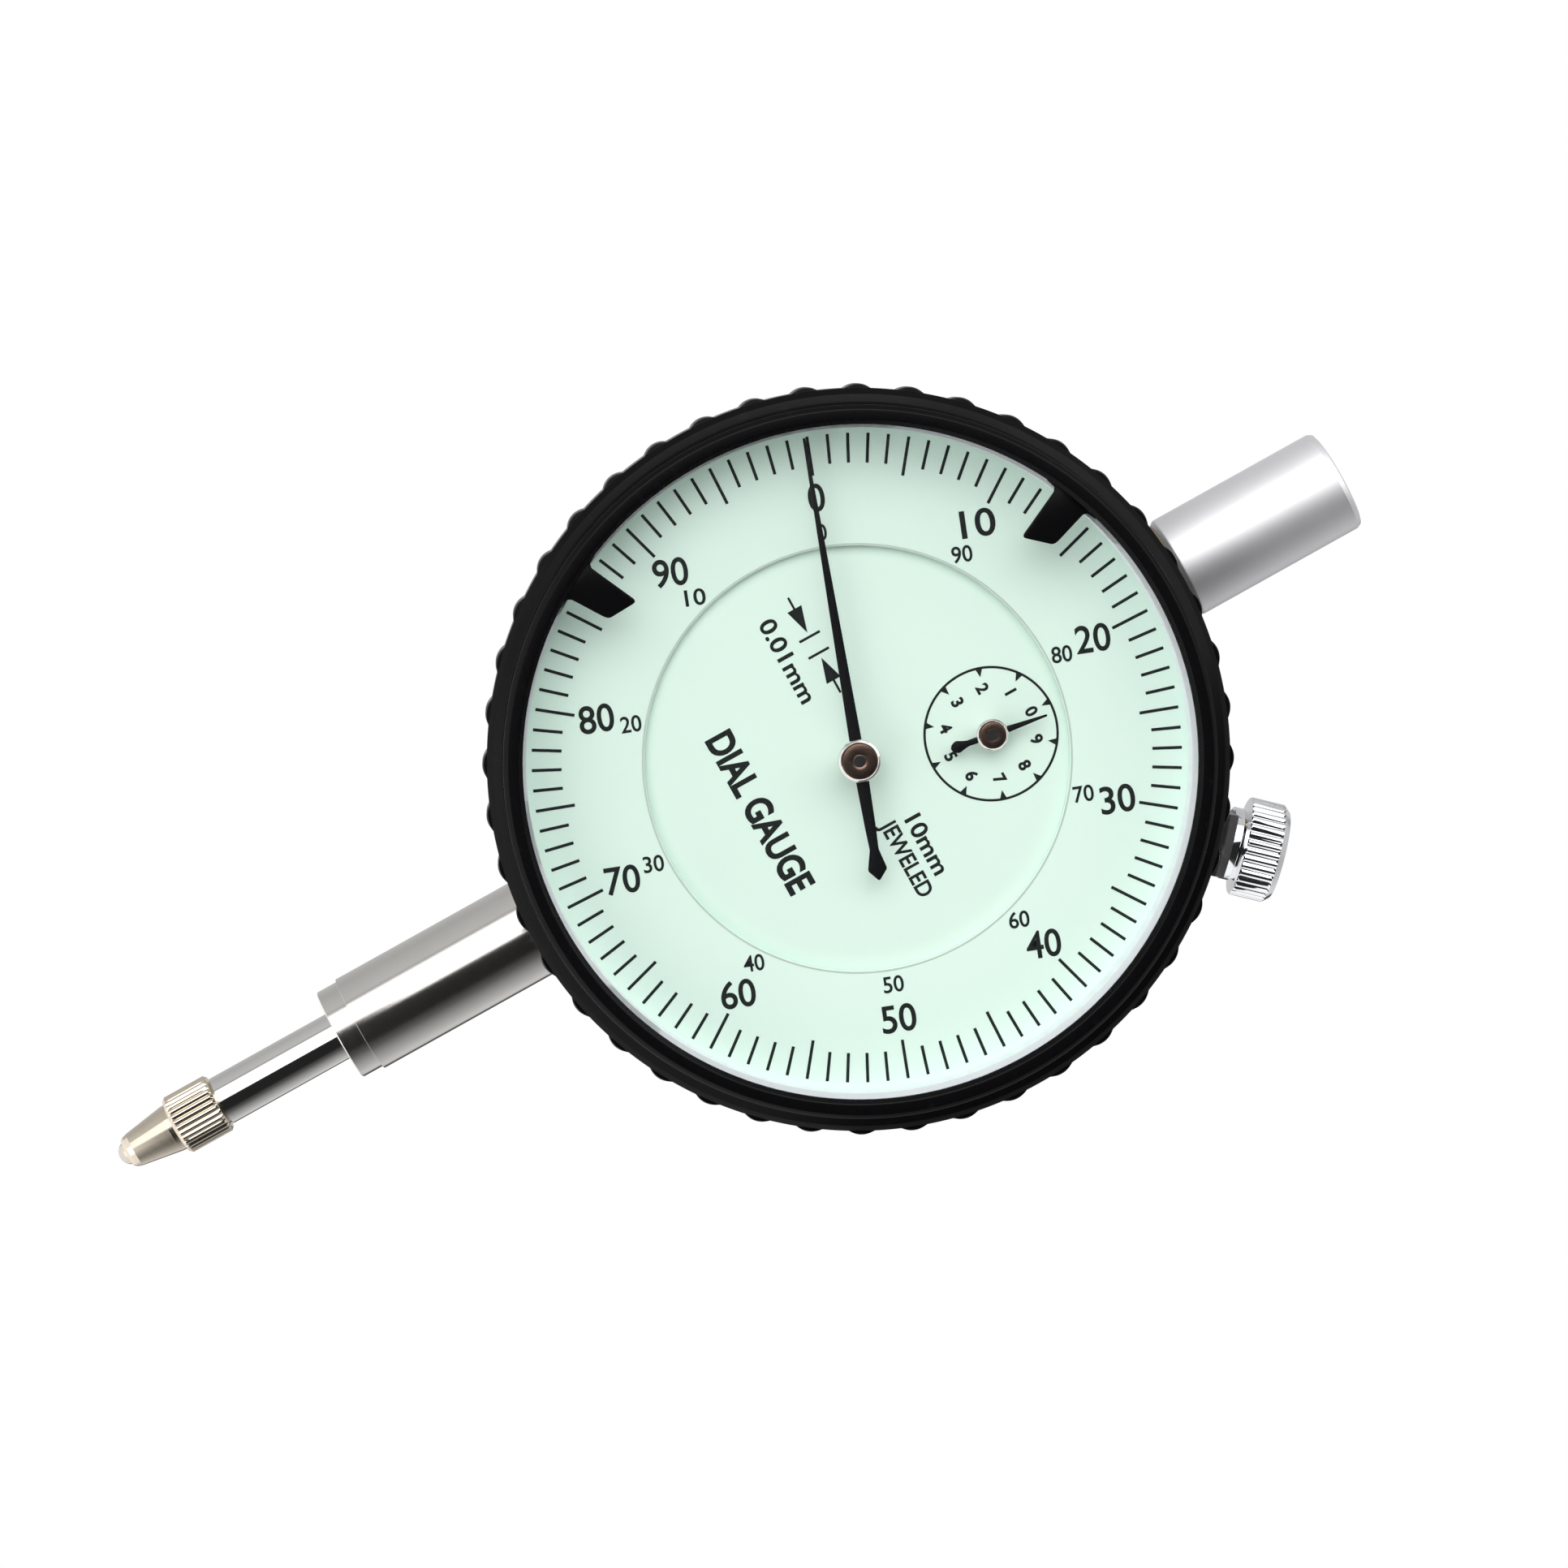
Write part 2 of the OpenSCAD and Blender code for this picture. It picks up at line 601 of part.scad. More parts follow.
// ---- Gear train ----
module rack_pinion() {
    color("#a9abb0") {
        turn_y([[0, floor_front + 0.2], [pivot_r, floor_front + 0.2], [pivot_r, floor_back + 0.05],
            [heavy_arbor_r, floor_back + 0.05], [heavy_arbor_r, 2.55], [pivot_r, 2.55], [pivot_r, 3.4],
            [0, 3.4]], rack_at);
        dial_plate(-1.7, 1.7) translate(rack_at) rotate(-90)
            gear_outline(rack_teeth, rack_pinion_r, 0.18, 0.22, 0.08, 0.14, 0.19);
    }
}
module rack_gear() {
    color("#d0aa52") dial_plate(gear_front, gear_back) translate(rack_at)
        rotate(rack_mesh_angle) big_gear_outline(heavy_arbor_r);
}
module centre_pinion() {
    color("#a9abb0") {
        turn_y([[0, -12], [arbor_r, -12], [arbor_r, -3.6], [pivot_r, -3.6], [pivot_r, -2.6], [0, -2.6]]);
        dial_plate(-6.2, -4.6) rotate(line_angle)
            gear_outline(centre_teeth, gear_module * centre_teeth / 2, 0.15, 0.24, 0.05, 0.1, 0.12);
    }
}
// The centre pinion has a tooth on the line between the arbors, so each big gear has a space there
line_angle = -atan2(take_up_at[0], take_up_at[1]);
rack_mesh_angle = line_angle + 180 / gear_teeth;
module main_pointer() {
    color("#101012") dial_plate(-11, -10.85) rotate(hand_angle) difference() {
        union() {
            circle(r = 1.35);
            polygon([[0.43, 0], [0.1, 25.15], [-0.1, 25.15], [-0.43, 0], [-0.45, -1.5], [-0.34, -6.8],
                [-0.74, -8.4], [-0.3, -9.1], [0, -9.25], [0.3, -9.1], [0.74, -8.4], [0.34, -6.8],
                [0.45, -1.5]]);
        }
        circle(r = 0.7);
    }
}
module main_pointer_hub() {
    color("#c9c4bd") turn_y([[arbor_r, -11.9], [1.3, -12], [1.56, -11.8], [1.56, -11], [0.7, -11],
        [0.7, -10.85], [1.2, -10.85], [1.2, -10.2], [arbor_r, -10.2]]);
}
module take_up_arbor() {
    color("#a9abb0") turn_y([[0, -10.5], [arbor_r, -10.5], [arbor_r, -3.6], [pivot_r, -3.6],
        [pivot_r, -2.6], [0, -2.6]], take_up_at);
}
module take_up_gear() {
    color("#d0aa52") dial_plate(gear_front, gear_back) translate(take_up_at)
        rotate(rack_mesh_angle) big_gear_outline(arbor_r);
}
module hairspring_collet() {
    color("#c9a24b") turn_y([[arbor_r, gear_back], [1.1, gear_back], [1.1, -4.2], [arbor_r, -4.2]],
        take_up_at);
}
module small_pointer() {
    color("#101012") dial_plate(-10.05, -9.9) translate(take_up_at) rotate(small_hand_angle) difference() {
        union() {
            circle(r = 1);
            polygon([[0.3, 0], [0.08, 4.5], [-0.08, 4.5], [-0.3, 0], [-0.2, -0.8], [-0.18, -2.1],
                [-0.48, -2.8], [-0.25, -3.3], [0, -3.4], [0.25, -3.3], [0.48, -2.8], [0.18, -2.1],
                [0.2, -0.8]]);
        }
        circle(r = 0.6);
    }
}
module small_pointer_hub() {
    color("#c9c4bd") turn_y([[arbor_r, -10.45], [0.95, -10.5], [1.15, -10.35], [1.15, -10.05],
        [0.6, -10.05], [0.6, -9.9], [0.9, -9.9], [0.9, -9.5], [arbor_r, -9.5]], take_up_at);
}

// ---- Bezel clamp ----
module clamp_plate() {
    color("#151517") difference() {
        intersection() {
            turn_y([[clamp_outer_r - clamp_chamfer, clamp_front], [clamp_outer_r, clamp_front + clamp_chamfer],
                [clamp_outer_r, clamp_back - 0.4], [clamp_outer_r - 0.4, clamp_back],
                [case_r + 0.1, clamp_back], [case_r + 0.1, shoulder + 0.1], [skirt_r + 0.1, shoulder + 0.1],
                [skirt_r + 0.1, clamp_front]]);
            at_clamp() translate([-clamp_w / 2, -20, 10]) cube([clamp_w, 40, 30]);
        }
        at_clamp() clamp_hole();
    }
}
module clamp_screw() {
    color("#d6d8da") at_clamp() {
        rotate_extrude() polygon([[0, clamp_screw_start], [clamp_screw_r, clamp_screw_start],
            [clamp_screw_r, clamp_outer_r + fit_gap], [knob_neck_r, clamp_outer_r + fit_gap],
            [knob_neck_r, knob_start], [0, knob_start]]);
        translate([0, 0, knob_start]) intersection() {
            linear_extrude(knob_l) difference() {
                circle(r = knob_r);
                for (i = [0:knob_grooves - 1]) rotate(i * 360 / knob_grooves)
                    translate([knob_r + 0.08, 0]) circle(r = 0.25);
            }
            rotate_extrude() polygon([[0, 0], [knob_r - 0.2, 0], [knob_r, 0.2], [knob_r, knob_l - 0.45],
                [knob_r - 0.45, knob_l], [0, knob_l]]);
        }
    }
}

case();
back_cover();
back_cover_screws();
back_gasket();
stem();
stem_bushings();
upper_bushing();
dust_cap();
spindle_buffer();
gear_bridge();
bridge_pillars();
bridge_screws();
pinion_bridge();
pinion_bridge_pillars();
pinion_bridge_screws();
front_jewels();
rear_jewels();
guide_rail();
guide_rail_screws();
spring_anchor();
return_spring();
hairspring();
hairspring_stud();
inner_dial();
bezel_snap_ring();
bezel();
crystal();
crystal_spacer();
outer_dial();
limit_marker_left();
limit_marker_right();
spindle();
spindle_stop();
guide_pin();
contact_point();
contact_ball();
rack_pinion();
rack_gear();
centre_pinion();
main_pointer();
main_pointer_hub();
take_up_arbor();
take_up_gear();
hairspring_collet();
small_pointer();
small_pointer_hub();
clamp_plate();
clamp_screw();
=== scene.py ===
"""Dial indicator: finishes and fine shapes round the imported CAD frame.

Shapes are worked out in millimetres from the CAD boxes and become metres where a mesh is made.
Front is -Y, +Z runs along the spindle to the dust cap, and dial angles run counter-clockwise
from the cap as seen from the front, unless a comment says clockwise.
"""
import json
from math import atan2, cos, degrees, pi, radians, sin, sqrt, tan, tau

import bmesh
import bpy
from mathutils import Matrix, Vector


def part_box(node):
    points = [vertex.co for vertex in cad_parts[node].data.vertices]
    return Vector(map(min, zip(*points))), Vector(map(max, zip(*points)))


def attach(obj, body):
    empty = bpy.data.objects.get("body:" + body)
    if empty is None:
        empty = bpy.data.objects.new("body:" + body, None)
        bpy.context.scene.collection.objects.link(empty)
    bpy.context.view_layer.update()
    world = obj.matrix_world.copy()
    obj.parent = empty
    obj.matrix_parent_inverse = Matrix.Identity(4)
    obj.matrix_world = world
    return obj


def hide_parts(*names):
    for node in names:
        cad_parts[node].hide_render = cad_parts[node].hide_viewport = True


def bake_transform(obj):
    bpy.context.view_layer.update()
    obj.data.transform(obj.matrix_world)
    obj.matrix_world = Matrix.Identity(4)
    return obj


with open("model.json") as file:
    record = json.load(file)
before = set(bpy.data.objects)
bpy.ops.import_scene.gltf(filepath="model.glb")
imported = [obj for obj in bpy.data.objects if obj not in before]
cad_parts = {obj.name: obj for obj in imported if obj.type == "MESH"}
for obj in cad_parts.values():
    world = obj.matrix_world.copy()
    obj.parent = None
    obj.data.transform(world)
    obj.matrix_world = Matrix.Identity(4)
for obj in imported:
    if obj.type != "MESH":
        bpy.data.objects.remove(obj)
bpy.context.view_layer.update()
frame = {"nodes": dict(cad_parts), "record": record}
MM = 0.001


# ---------------------------------------------------------------- places from the frame
def box_mm(node):
    low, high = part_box(node)
    return low / MM, high / MM


def middle(node):
    low, high = box_mm(node)
    return (low + high) / 2


def half_width(node):
    low, high = box_mm(node)
    return (high.x - low.x) / 2


def depths(node):
    low, high = box_mm(node)
    return low.y, high.y


dial_centre = Vector((0, 0, middle("outer_dial").z))
small_centre = middle("small_pointer_hub")
anchor_centre = middle("spring_anchor")

bezel_front, bezel_back = depths("bezel")
crystal_front, crystal_back = depths("crystal")
outer_dial_front, outer_dial_back = depths("outer_dial")
inner_dial_front = depths("inner_dial")[0]
hub_front, hub_back = depths("main_pointer_hub")
pointer_front, pointer_back = depths("main_pointer")
small_hub_front, small_hub_back = depths("small_pointer_hub")
small_pointer_front, small_pointer_back = depths("small_pointer")
marker_front, marker_back = depths("limit_marker_left")

dial_r = half_width("outer_dial")
hub_r = half_width("main_pointer_hub")
small_hub_r = half_width("small_pointer_hub")
cap_low, cap_high = (v.z for v in box_mm("dust_cap"))
cap_r = half_width("dust_cap")
contact_high = box_mm("spindle")[0].z
ball_low = box_mm("contact_ball")[0].z

hand_low, hand_high = box_mm("main_pointer")
hand_angle = degrees(atan2(-hand_low.x, hand_high.z - dial_centre.z))
# the needle and the printed scale each stand a little off the CAD hand, so the dial isn't quite at zero
needle_angle = hand_angle + 1.3
scale_angle = hand_angle + 0.6
small_hand_angle = -9.5
left_marker_angle = 118.2
right_marker_angle = 22.4
knob_middle = middle("clamp_plate") - dial_centre
knob_angle = degrees(atan2(knob_middle.x, knob_middle.z))
knob_y = -1.5


# ---------------------------------------------------------------- mesh helpers, in millimetres
def axes(u, v, w, origin):
    """Matrix that takes (u, v, w) coordinates in millimetres to the row frame in metres."""
    columns = [Vector(c) * MM for c in (u, v, w)] + [Vector(origin) * MM]
    return Matrix([[c[row] for c in columns] for row in range(3)] + [[0, 0, 0, 1]])


def along_y(centre, turn=0):
    """v points to the cap, turned by turn degrees. u is clockwise of v from the front, and w points back."""
    a = radians(turn)
    origin = (centre[0], 0, centre[2])
    return axes((cos(a), 0, sin(a)), (-sin(a), 0, cos(a)), (0, 1, 0), origin)


def along_z():
    return axes((1, 0, 0), (0, 1, 0), (0, 0, 1), (0, 0, 0))


def along_knob():
    a = radians(knob_angle)
    return axes((0, 1, 0), (cos(a), 0, -sin(a)), (sin(a), 0, cos(a)), (0, knob_y, dial_centre.z))


def rounded(points, radius=0.1, steps=4, closed=True):
    """Rounds the corners of an outline. A point's own third value wins over radius."""
    result = []
    for i, point in enumerate(points):
        here = Vector(point[:2])
        size = point[2] if len(point) > 2 else radius
        if size == 0 or (not closed and i in (0, len(points) - 1)):
            result.append(here)
            continue
        back = Vector(points[i - 1][:2]) - here
        ahead = Vector(points[(i + 1) % len(points)][:2]) - here
        half = back.angle(ahead) / 2
        cut = min(size / tan(half), 0.45 * back.length, 0.45 * ahead.length)
        start, end = here + back.normalized() * cut, here + ahead.normalized() * cut
        for step in range(steps + 1):
            t = step / steps
            result.append((1 - t) ** 2 * start + 2 * t * (1 - t) * here + t * t * end)
    return result


def turned(outline, place, segments=256, swell=None, closed=True):
    """Turns an outline of (radius, position) points about w. swell(radius, position, angle) widens it."""
    mesh = bmesh.new()
    rings = []
    for i in range(segments):
        angle = tau * i / segments
        ring = []
        for r, w in outline:
            out = r + (swell(r, w, angle) if swell and r else 0)
            ring.append(mesh.verts.new((out * sin(angle), out * cos(angle), w)))
        rings.append(ring)
    count = len(outline)
    for i in range(segments):
        a, b = rings[i], rings[(i + 1) % segments]
        for j in range(count if closed else count - 1):
            k = (j + 1) % count
            mesh.faces.new((a[j], a[k], b[k], b[j]))
    bmesh.ops.remove_doubles(mesh, verts=mesh.verts[:], dist=1e-4)
    bmesh.ops.recalc_face_normals(mesh, faces=mesh.faces[:])
    mesh.transform(place)
    return mesh


def plate(outline, front, back, place, edge=0.05):
    """An outline in (u, v) given depth along w, with its edges rounded."""
    mesh = bmesh.new()
    face = mesh.faces.new([mesh.verts.new((u, v, front)) for u, v in outline])
    grown = bmesh.ops.extrude_face_region(mesh, geom=[face])["geom"]
    moved = [g for g in grown if isinstance(g, bmesh.types.BMVert)]
    bmesh.ops.translate(mesh, verts=moved, vec=(0, 0, back - front))
    bmesh.ops.recalc_face_normals(mesh, faces=mesh.faces[:])
    if edge:
        bmesh.ops.bevel(mesh, geom=mesh.edges[:], offset=edge, segments=2, profile=0.5,
            affect="EDGES", clamp_overlap=True)
    mesh.transform(place)
    return mesh


def merged(meshes):
    """Several meshes as one."""
    whole = bmesh.new()
    for part in meshes:
        holder = bpy.data.meshes.new("part")
        part.to_mesh(holder)
        part.free()
        whole.from_mesh(holder)
        bpy.data.meshes.remove(holder)
    return whole


def piece(name, mesh, body, finish, replaces=(), sharp=32):
    """Makes the object, in place, hangs it on its body and hides the CAD nodes it replaces."""
    data = bpy.data.meshes.new(name)
    mesh.to_mesh(data)
    mesh.free()
    data.shade_smooth()
    data.set_sharp_from_angle(angle=radians(sharp))
    data.materials.append(finish)
    obj = bpy.data.objects.new(name, data)
    bpy.context.scene.collection.objects.link(obj)
    if body:
        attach(obj, body)
    if replaces:
        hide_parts(*replaces)
    return obj


def flat_first(data):
    """Shades each point by the faces round it in proportion to their area, so that flat faces stay flat."""
    normals = [Vector() for _ in data.vertices]
    for face in data.polygons:
        for index in face.vertices:
            normals[index] += face.normal * face.area
    data.normals_split_custom_set_from_vertices([n.normalized() for n in normals])


def softened(node, width, name, body, slot, steps=3, angle=35):
    """A copy of a CAD node with its sharp edges rounded, which stands for the node."""
    mesh = bmesh.new()
    mesh.from_mesh(frame["nodes"][node].data)
    bmesh.ops.remove_doubles(mesh, verts=mesh.verts[:], dist=2e-6)
    bmesh.ops.dissolve_limit(mesh, angle_limit=radians(0.3), verts=mesh.verts[:], edges=mesh.edges[:])
    edges = [e for e in mesh.edges if len(e.link_faces) == 2 and e.calc_face_angle() > radians(angle)]
    bmesh.ops.bevel(mesh, geom=edges, offset=width * MM, segments=steps, profile=0.5, affect="EDGES",
        clamp_overlap=True)
    flat_first(piece(name, mesh, body, finishes[slot], [node], 80).data)


# ---------------------------------------------------------------- finishes
def surface(name, base, rough, metallic=0.0, mottle=(900, 0.06), rough_spread=0.04, grain=(4000, 4000, 4000),
        depth=0.4, specular=0.5, alpha=1.0, wear=None, coat=0.0):
    """A procedural finish. mottle is (noise scale, share of the colour it moves), grain the noise scales
    along x, y and z, depth the height of the grain in thousandths of a millimetre, wear (colour, amount)."""
    material = bpy.data.materials.new(name)
    material.use_nodes = True
    nodes, links = material.node_tree.nodes, material.node_tree.links
    shader = nodes["Principled BSDF"]
    shader.inputs["Metallic"].default_value = metallic
    shader.inputs["Specular IOR Level"].default_value = specular
    shader.inputs["Alpha"].default_value = alpha
    shader.inputs["Coat Weight"].default_value = coat
    where = nodes.new("ShaderNodeTexCoord")

    patches = nodes.new("ShaderNodeTexNoise")
    patches.inputs["Scale"].default_value = mottle[0]
    patches.inputs["Detail"].default_value = 4
    links.new(where.outputs["Object"], patches.inputs["Vector"])
    tint = nodes.new("ShaderNodeMix")
    tint.data_type = "RGBA"
    tint.inputs["A"].default_value = [c * (1 - mottle[1]) for c in base] + [1]
    tint.inputs["B"].default_value = [min(1, c * (1 + mottle[1])) for c in base] + [1]
    links.new(patches.outputs["Fac"], tint.inputs["Factor"])
    colour = tint.outputs["Result"]

    stretch = nodes.new("ShaderNodeMapping")
    stretch.inputs["Scale"].default_value = grain
    links.new(where.outputs["Object"], stretch.inputs["Vector"])
    lines = nodes.new("ShaderNodeTexNoise")
    lines.inputs["Scale"].default_value = 1
    lines.inputs["Detail"].default_value = 3
    links.new(stretch.outputs["Vector"], lines.inputs["Vector"])
    gloss = nodes.new("ShaderNodeMapRange")
    gloss.inputs["To Min"].default_value = max(0.02, rough - rough_spread)
    gloss.inputs["To Max"].default_value = rough + rough_spread
    links.new(lines.outputs["Fac"], gloss.inputs["Value"])
    links.new(gloss.outputs["Result"], shader.inputs["Roughness"])
    bump = nodes.new("ShaderNodeBump")
    bump.inputs["Distance"].default_value = depth * 1e-6
    links.new(lines.outputs["Fac"], bump.inputs["Height"])
    links.new(bump.outputs["Normal"], shader.inputs["Normal"])

    if wear:
        rubbed = nodes.new("ShaderNodeTexNoise")
        rubbed.inputs["Scale"].default_value = mottle[0] * 0.6
        rubbed.inputs["Detail"].default_value = 8
        links.new(where.outputs["Object"], rubbed.inputs["Vector"])
        spots = nodes.new("ShaderNodeMapRange")
        spots.inputs["From Min"].default_value = 0.62
        spots.inputs["From Max"].default_value = 0.72
        spots.inputs["To Max"].default_value = wear[1]
        links.new(rubbed.outputs["Fac"], spots.inputs["Value"])
        worn = nodes.new("ShaderNodeMix")
        worn.data_type = "RGBA"
        worn.inputs["B"].default_value = list(wear[0]) + [1]
        links.new(spots.outputs["Result"], worn.inputs["Factor"])
        links.new(colour, worn.inputs["A"])
        colour = worn.outputs["Result"]
    links.new(colour, shader.inputs["Base Color"])
    return material


round_z = (700, 700, 16000)
brushed_x = (500, 9000, 9000)
even = (3500, 3500, 3500)
finishes = {
    "case_body": surface("case_paint", (0.014, 0.014, 0.016), 0.42, mottle=(1400, 0.15), grain=even, depth=5,
        wear=((0.05, 0.05, 0.052), 0.4)),
    "cover_paint": surface("cover_satin", (0.02, 0.02, 0.022), 0.4, mottle=(1200, 0.15), grain=even, depth=5,
        wear=((0.06, 0.06, 0.062), 0.4)),
    "fastener_steel": surface("fastener_bright", (0.62, 0.63, 0.65), 0.24, 1, grain=(900, 900, 7000),
        depth=0.6),
    "gasket_rubber": surface("gasket_black", (0.02, 0.02, 0.02), 0.75, mottle=(2500, 0.2), depth=3),
    "stem_steel": surface("stem_ground", (0.74, 0.72, 0.69), 0.15, 1, mottle=(260, 0.05), grain=round_z,
        depth=0.35),
    "bushing_bronze": surface("bushing_turned", (0.55, 0.36, 0.2), 0.28, 1, grain=round_z, depth=0.6),
    "brass": surface("brass_satin", (0.75, 0.56, 0.26), 0.3, 1, grain=brushed_x, depth=0.7),
    "cap_aluminium": surface("cap_satin", (0.86, 0.86, 0.88), 0.54, 1, mottle=(350, 0.04), grain=round_z,
        depth=0.9),
    "buffer_nylon": surface("buffer_natural", (0.86, 0.84, 0.77), 0.5, mottle=(1500, 0.06), grain=even,
        depth=1.5),
    "ruby": surface("ruby_polished", (0.45, 0.02, 0.08), 0.08, mottle=(3000, 0.2), grain=even, depth=0.2,
        coat=0.5),
    "spring_steel": surface("spring_drawn", (0.55, 0.55, 0.57), 0.3, 1, grain=even, depth=0.6),
    "blued_steel": surface("blued", (0.07, 0.1, 0.24), 0.2, 1, mottle=(1300, 0.25), grain=brushed_x,
        depth=0.4),
    "dial_enamel": surface("dial_mint", (0.74, 0.925, 0.82), 0.42, mottle=(120, 0.012), grain=even, depth=1,
        specular=0.3),
    "bezel_black": surface("bezel_gloss", (0.0025, 0.0025, 0.003), 0.26, mottle=(1500, 0.25), grain=even,
        depth=1.2, specular=0.1, wear=((0.007, 0.007, 0.0075), 0.5)),
    "crystal_clear": surface("crystal_acrylic", (0.06, 0.065, 0.065), 0.03, mottle=(200, 0.01),
        rough_spread=0.01, grain=even, depth=0.1, alpha=0.03),
    "spacer_white": surface("spacer_plain", (0.88, 0.93, 0.95), 0.4, mottle=(500, 0.02), grain=even, depth=1),
    "marker_black": surface("marker_gloss", (0.003, 0.003, 0.0035), 0.3, mottle=(1500, 0.25), grain=even,
        depth=1.5, specular=0.1),
    "spindle_steel": surface("spindle_polished", (0.78, 0.77, 0.76), 0.07, 1, mottle=(260, 0.04),
        grain=round_z, rough_spread=0.02, depth=0.2),
    "contact_nickel": surface("contact_champagne", (0.76, 0.68, 0.56), 0.17, 1, mottle=(700, 0.07),
        grain=round_z, depth=0.5),
    "ball_carbide": surface("ball_polished", (0.66, 0.6, 0.52), 0.1, 1, grain=even, depth=0.1),
    "pinion_steel": surface("pinion_polished", (0.62, 0.63, 0.65), 0.14, 1, grain=brushed_x, depth=0.3),
    "pointer_black": surface("pointer_satin", (0.004, 0.004, 0.005), 0.36, mottle=(1800, 0.2), grain=even,
        depth=1, specular=0.1),
    "hub_nickel": surface("hub_bright", (0.8, 0.77, 0.74), 0.12, 1, grain=even, depth=0.2),
    "knob_chrome": surface("knob_plated", (0.86, 0.87, 0.89), 0.07, 1, mottle=(400, 0.03), rough_spread=0.02,
        grain=even, depth=0.15),
    "clamp_black": surface("clamp_oxide", (0.022, 0.022, 0.023), 0.34, mottle=(1500, 0.2), grain=even,
        depth=3, wear=((0.12, 0.12, 0.12), 0.6)),
}
ink = surface("dial_ink", (0.01, 0.014, 0.013), 0.45, mottle=(2500, 0.3), grain=even, depth=1, specular=0.15)
# painted shade: this grey stands in for the shadow at the step from the outer dial down to the inner dial
step_shade_paint = surface("dial_step_shade", (0.5, 0.6, 0.54), 0.45, mottle=(2500, 0.08), grain=even, depth=1)
hub_dome = surface("hub_bronze", (0.23, 0.15, 0.115), 0.24, 1, mottle=(2200, 0.2), grain=even, depth=0.4)

slots = {part["node"]: part["material_slot"] for part in frame["record"]["subparts"]}
for node, obj in frame["nodes"].items():
    obj.material_slots[0].material = finishes[slots[node]]


# ---------------------------------------------------------------- pieces with softened edges
softened("back_cover", 0.25, "back_cover_cast", "case_body", "cover_paint")
softened("case", 0.2, "case_cast", "case_body", "case_body")
softened("back_cover_screws", 0.06, "back_cover_screws_turned", "case_body", "fastener_steel", 2)


# ---------------------------------------------------------------- bezel and crystal
lobe_count = 44
window_r = 25.9
front_ring_r = 27.4
rim_r = 28.65
skirt_r = 28.2
bore_r = 26.25
ring_groove_r = 26.6
crystal_seat_r = 26.95
lip_back = bezel_front + 0.62
lobe_round_r = 1.6
lobe_centre_r = 29 - lobe_round_r
grip_front = bezel_front + 2.2
grip_back = bezel_back - 1
ring_front, ring_back = depths("bezel_snap_ring")


def lobes(r, w, angle):
    """How far the grip lobes stand out of the rim, fading to nothing at both ends of the grip band."""
    if r < rim_r - 0.02:
        return 0
    fade = min(1, max(0, (w - grip_front) / 0.9), max(0, (grip_back - w) / 0.6))
    pitch = tau / lobe_count
    off = (angle / pitch) % 1 - 0.5
    across = lobe_centre_r * sin(off * pitch)
    if abs(across) >= lobe_round_r:
        return 0
    out = lobe_centre_r * cos(off * pitch) + sqrt(lobe_round_r ** 2 - across ** 2)
    return max(0, out - rim_r) * sin(fade * pi / 2)


bezel_outline = rounded([
    (window_r, lip_back, 0.03), (window_r, bezel_front + 0.3, 0.1), (window_r + 0.35, bezel_front, 0.2),
    (front_ring_r - 0.35, bezel_front, 0.25), (front_ring_r, bezel_front + 0.35, 0.2),
    (front_ring_r + 0.1, grip_front - 0.35, 0.25), (rim_r - 0.45, grip_front - 0.02, 0.2),
    (rim_r, grip_front + 0.4, 0.12), (rim_r, grip_front + 0.65, 0), (rim_r, grip_front + 0.9, 0),
    (rim_r, grip_back - 0.6, 0), (rim_r, grip_back - 0.35, 0), (rim_r, grip_back - 0.12, 0.05),
    (rim_r - 0.2, grip_back, 0.08), (skirt_r, grip_back + 0.05, 0.03),
    (skirt_r, bezel_back, 0.12), (bore_r, bezel_back, 0.1), (bore_r, ring_back + 0.05, 0),
    (ring_groove_r, ring_back + 0.05, 0), (ring_groove_r, ring_front - 0.05, 0),
    (bore_r, ring_front - 0.05, 0), (bore_r, crystal_front, 0), (crystal_seat_r, crystal_front, 0),
    (crystal_seat_r, lip_back, 0)])
piece("bezel_scalloped", turned(bezel_outline, along_y(dial_centre), lobe_count * 20, lobes), "bezel_body",
    finishes["bezel_black"], ["bezel"])

lens_r = half_width("crystal") - 0.01
lens_outline = rounded([(0, crystal_front), (lens_r, crystal_front, 0.15), (lens_r, crystal_back, 0.05),
    (0, crystal_back)], closed=False)
piece("crystal_lens", turned(lens_outline, along_y(dial_centre), 192, closed=False), "bezel_body",
    finishes["crystal_clear"], ["crystal"])


# ---------------------------------------------------------------- dials
step_r = 16.5
dial_outline = rounded([(step_r, outer_dial_back, 0.02), (step_r, outer_dial_front, 0.08),
    (dial_r, outer_dial_front, 0.03), (dial_r, outer_dial_back, 0.03)])
piece("outer_dial_ring", turned(dial_outline, along_y(dial_centre), 256), "bezel_body",
    finishes["dial_enamel"], ["outer_dial"])

print_t = 0.015


def bar(angle, r0, r1, width, front):
    """A printed line from radius r0 to r1 of the dial."""
    outline = [(-width / 2, r0), (width / 2, r0), (width / 2, r1), (-width / 2, r1)]
    return plate(outline, front - print_t, front, along_y(dial_centre, angle), 0)


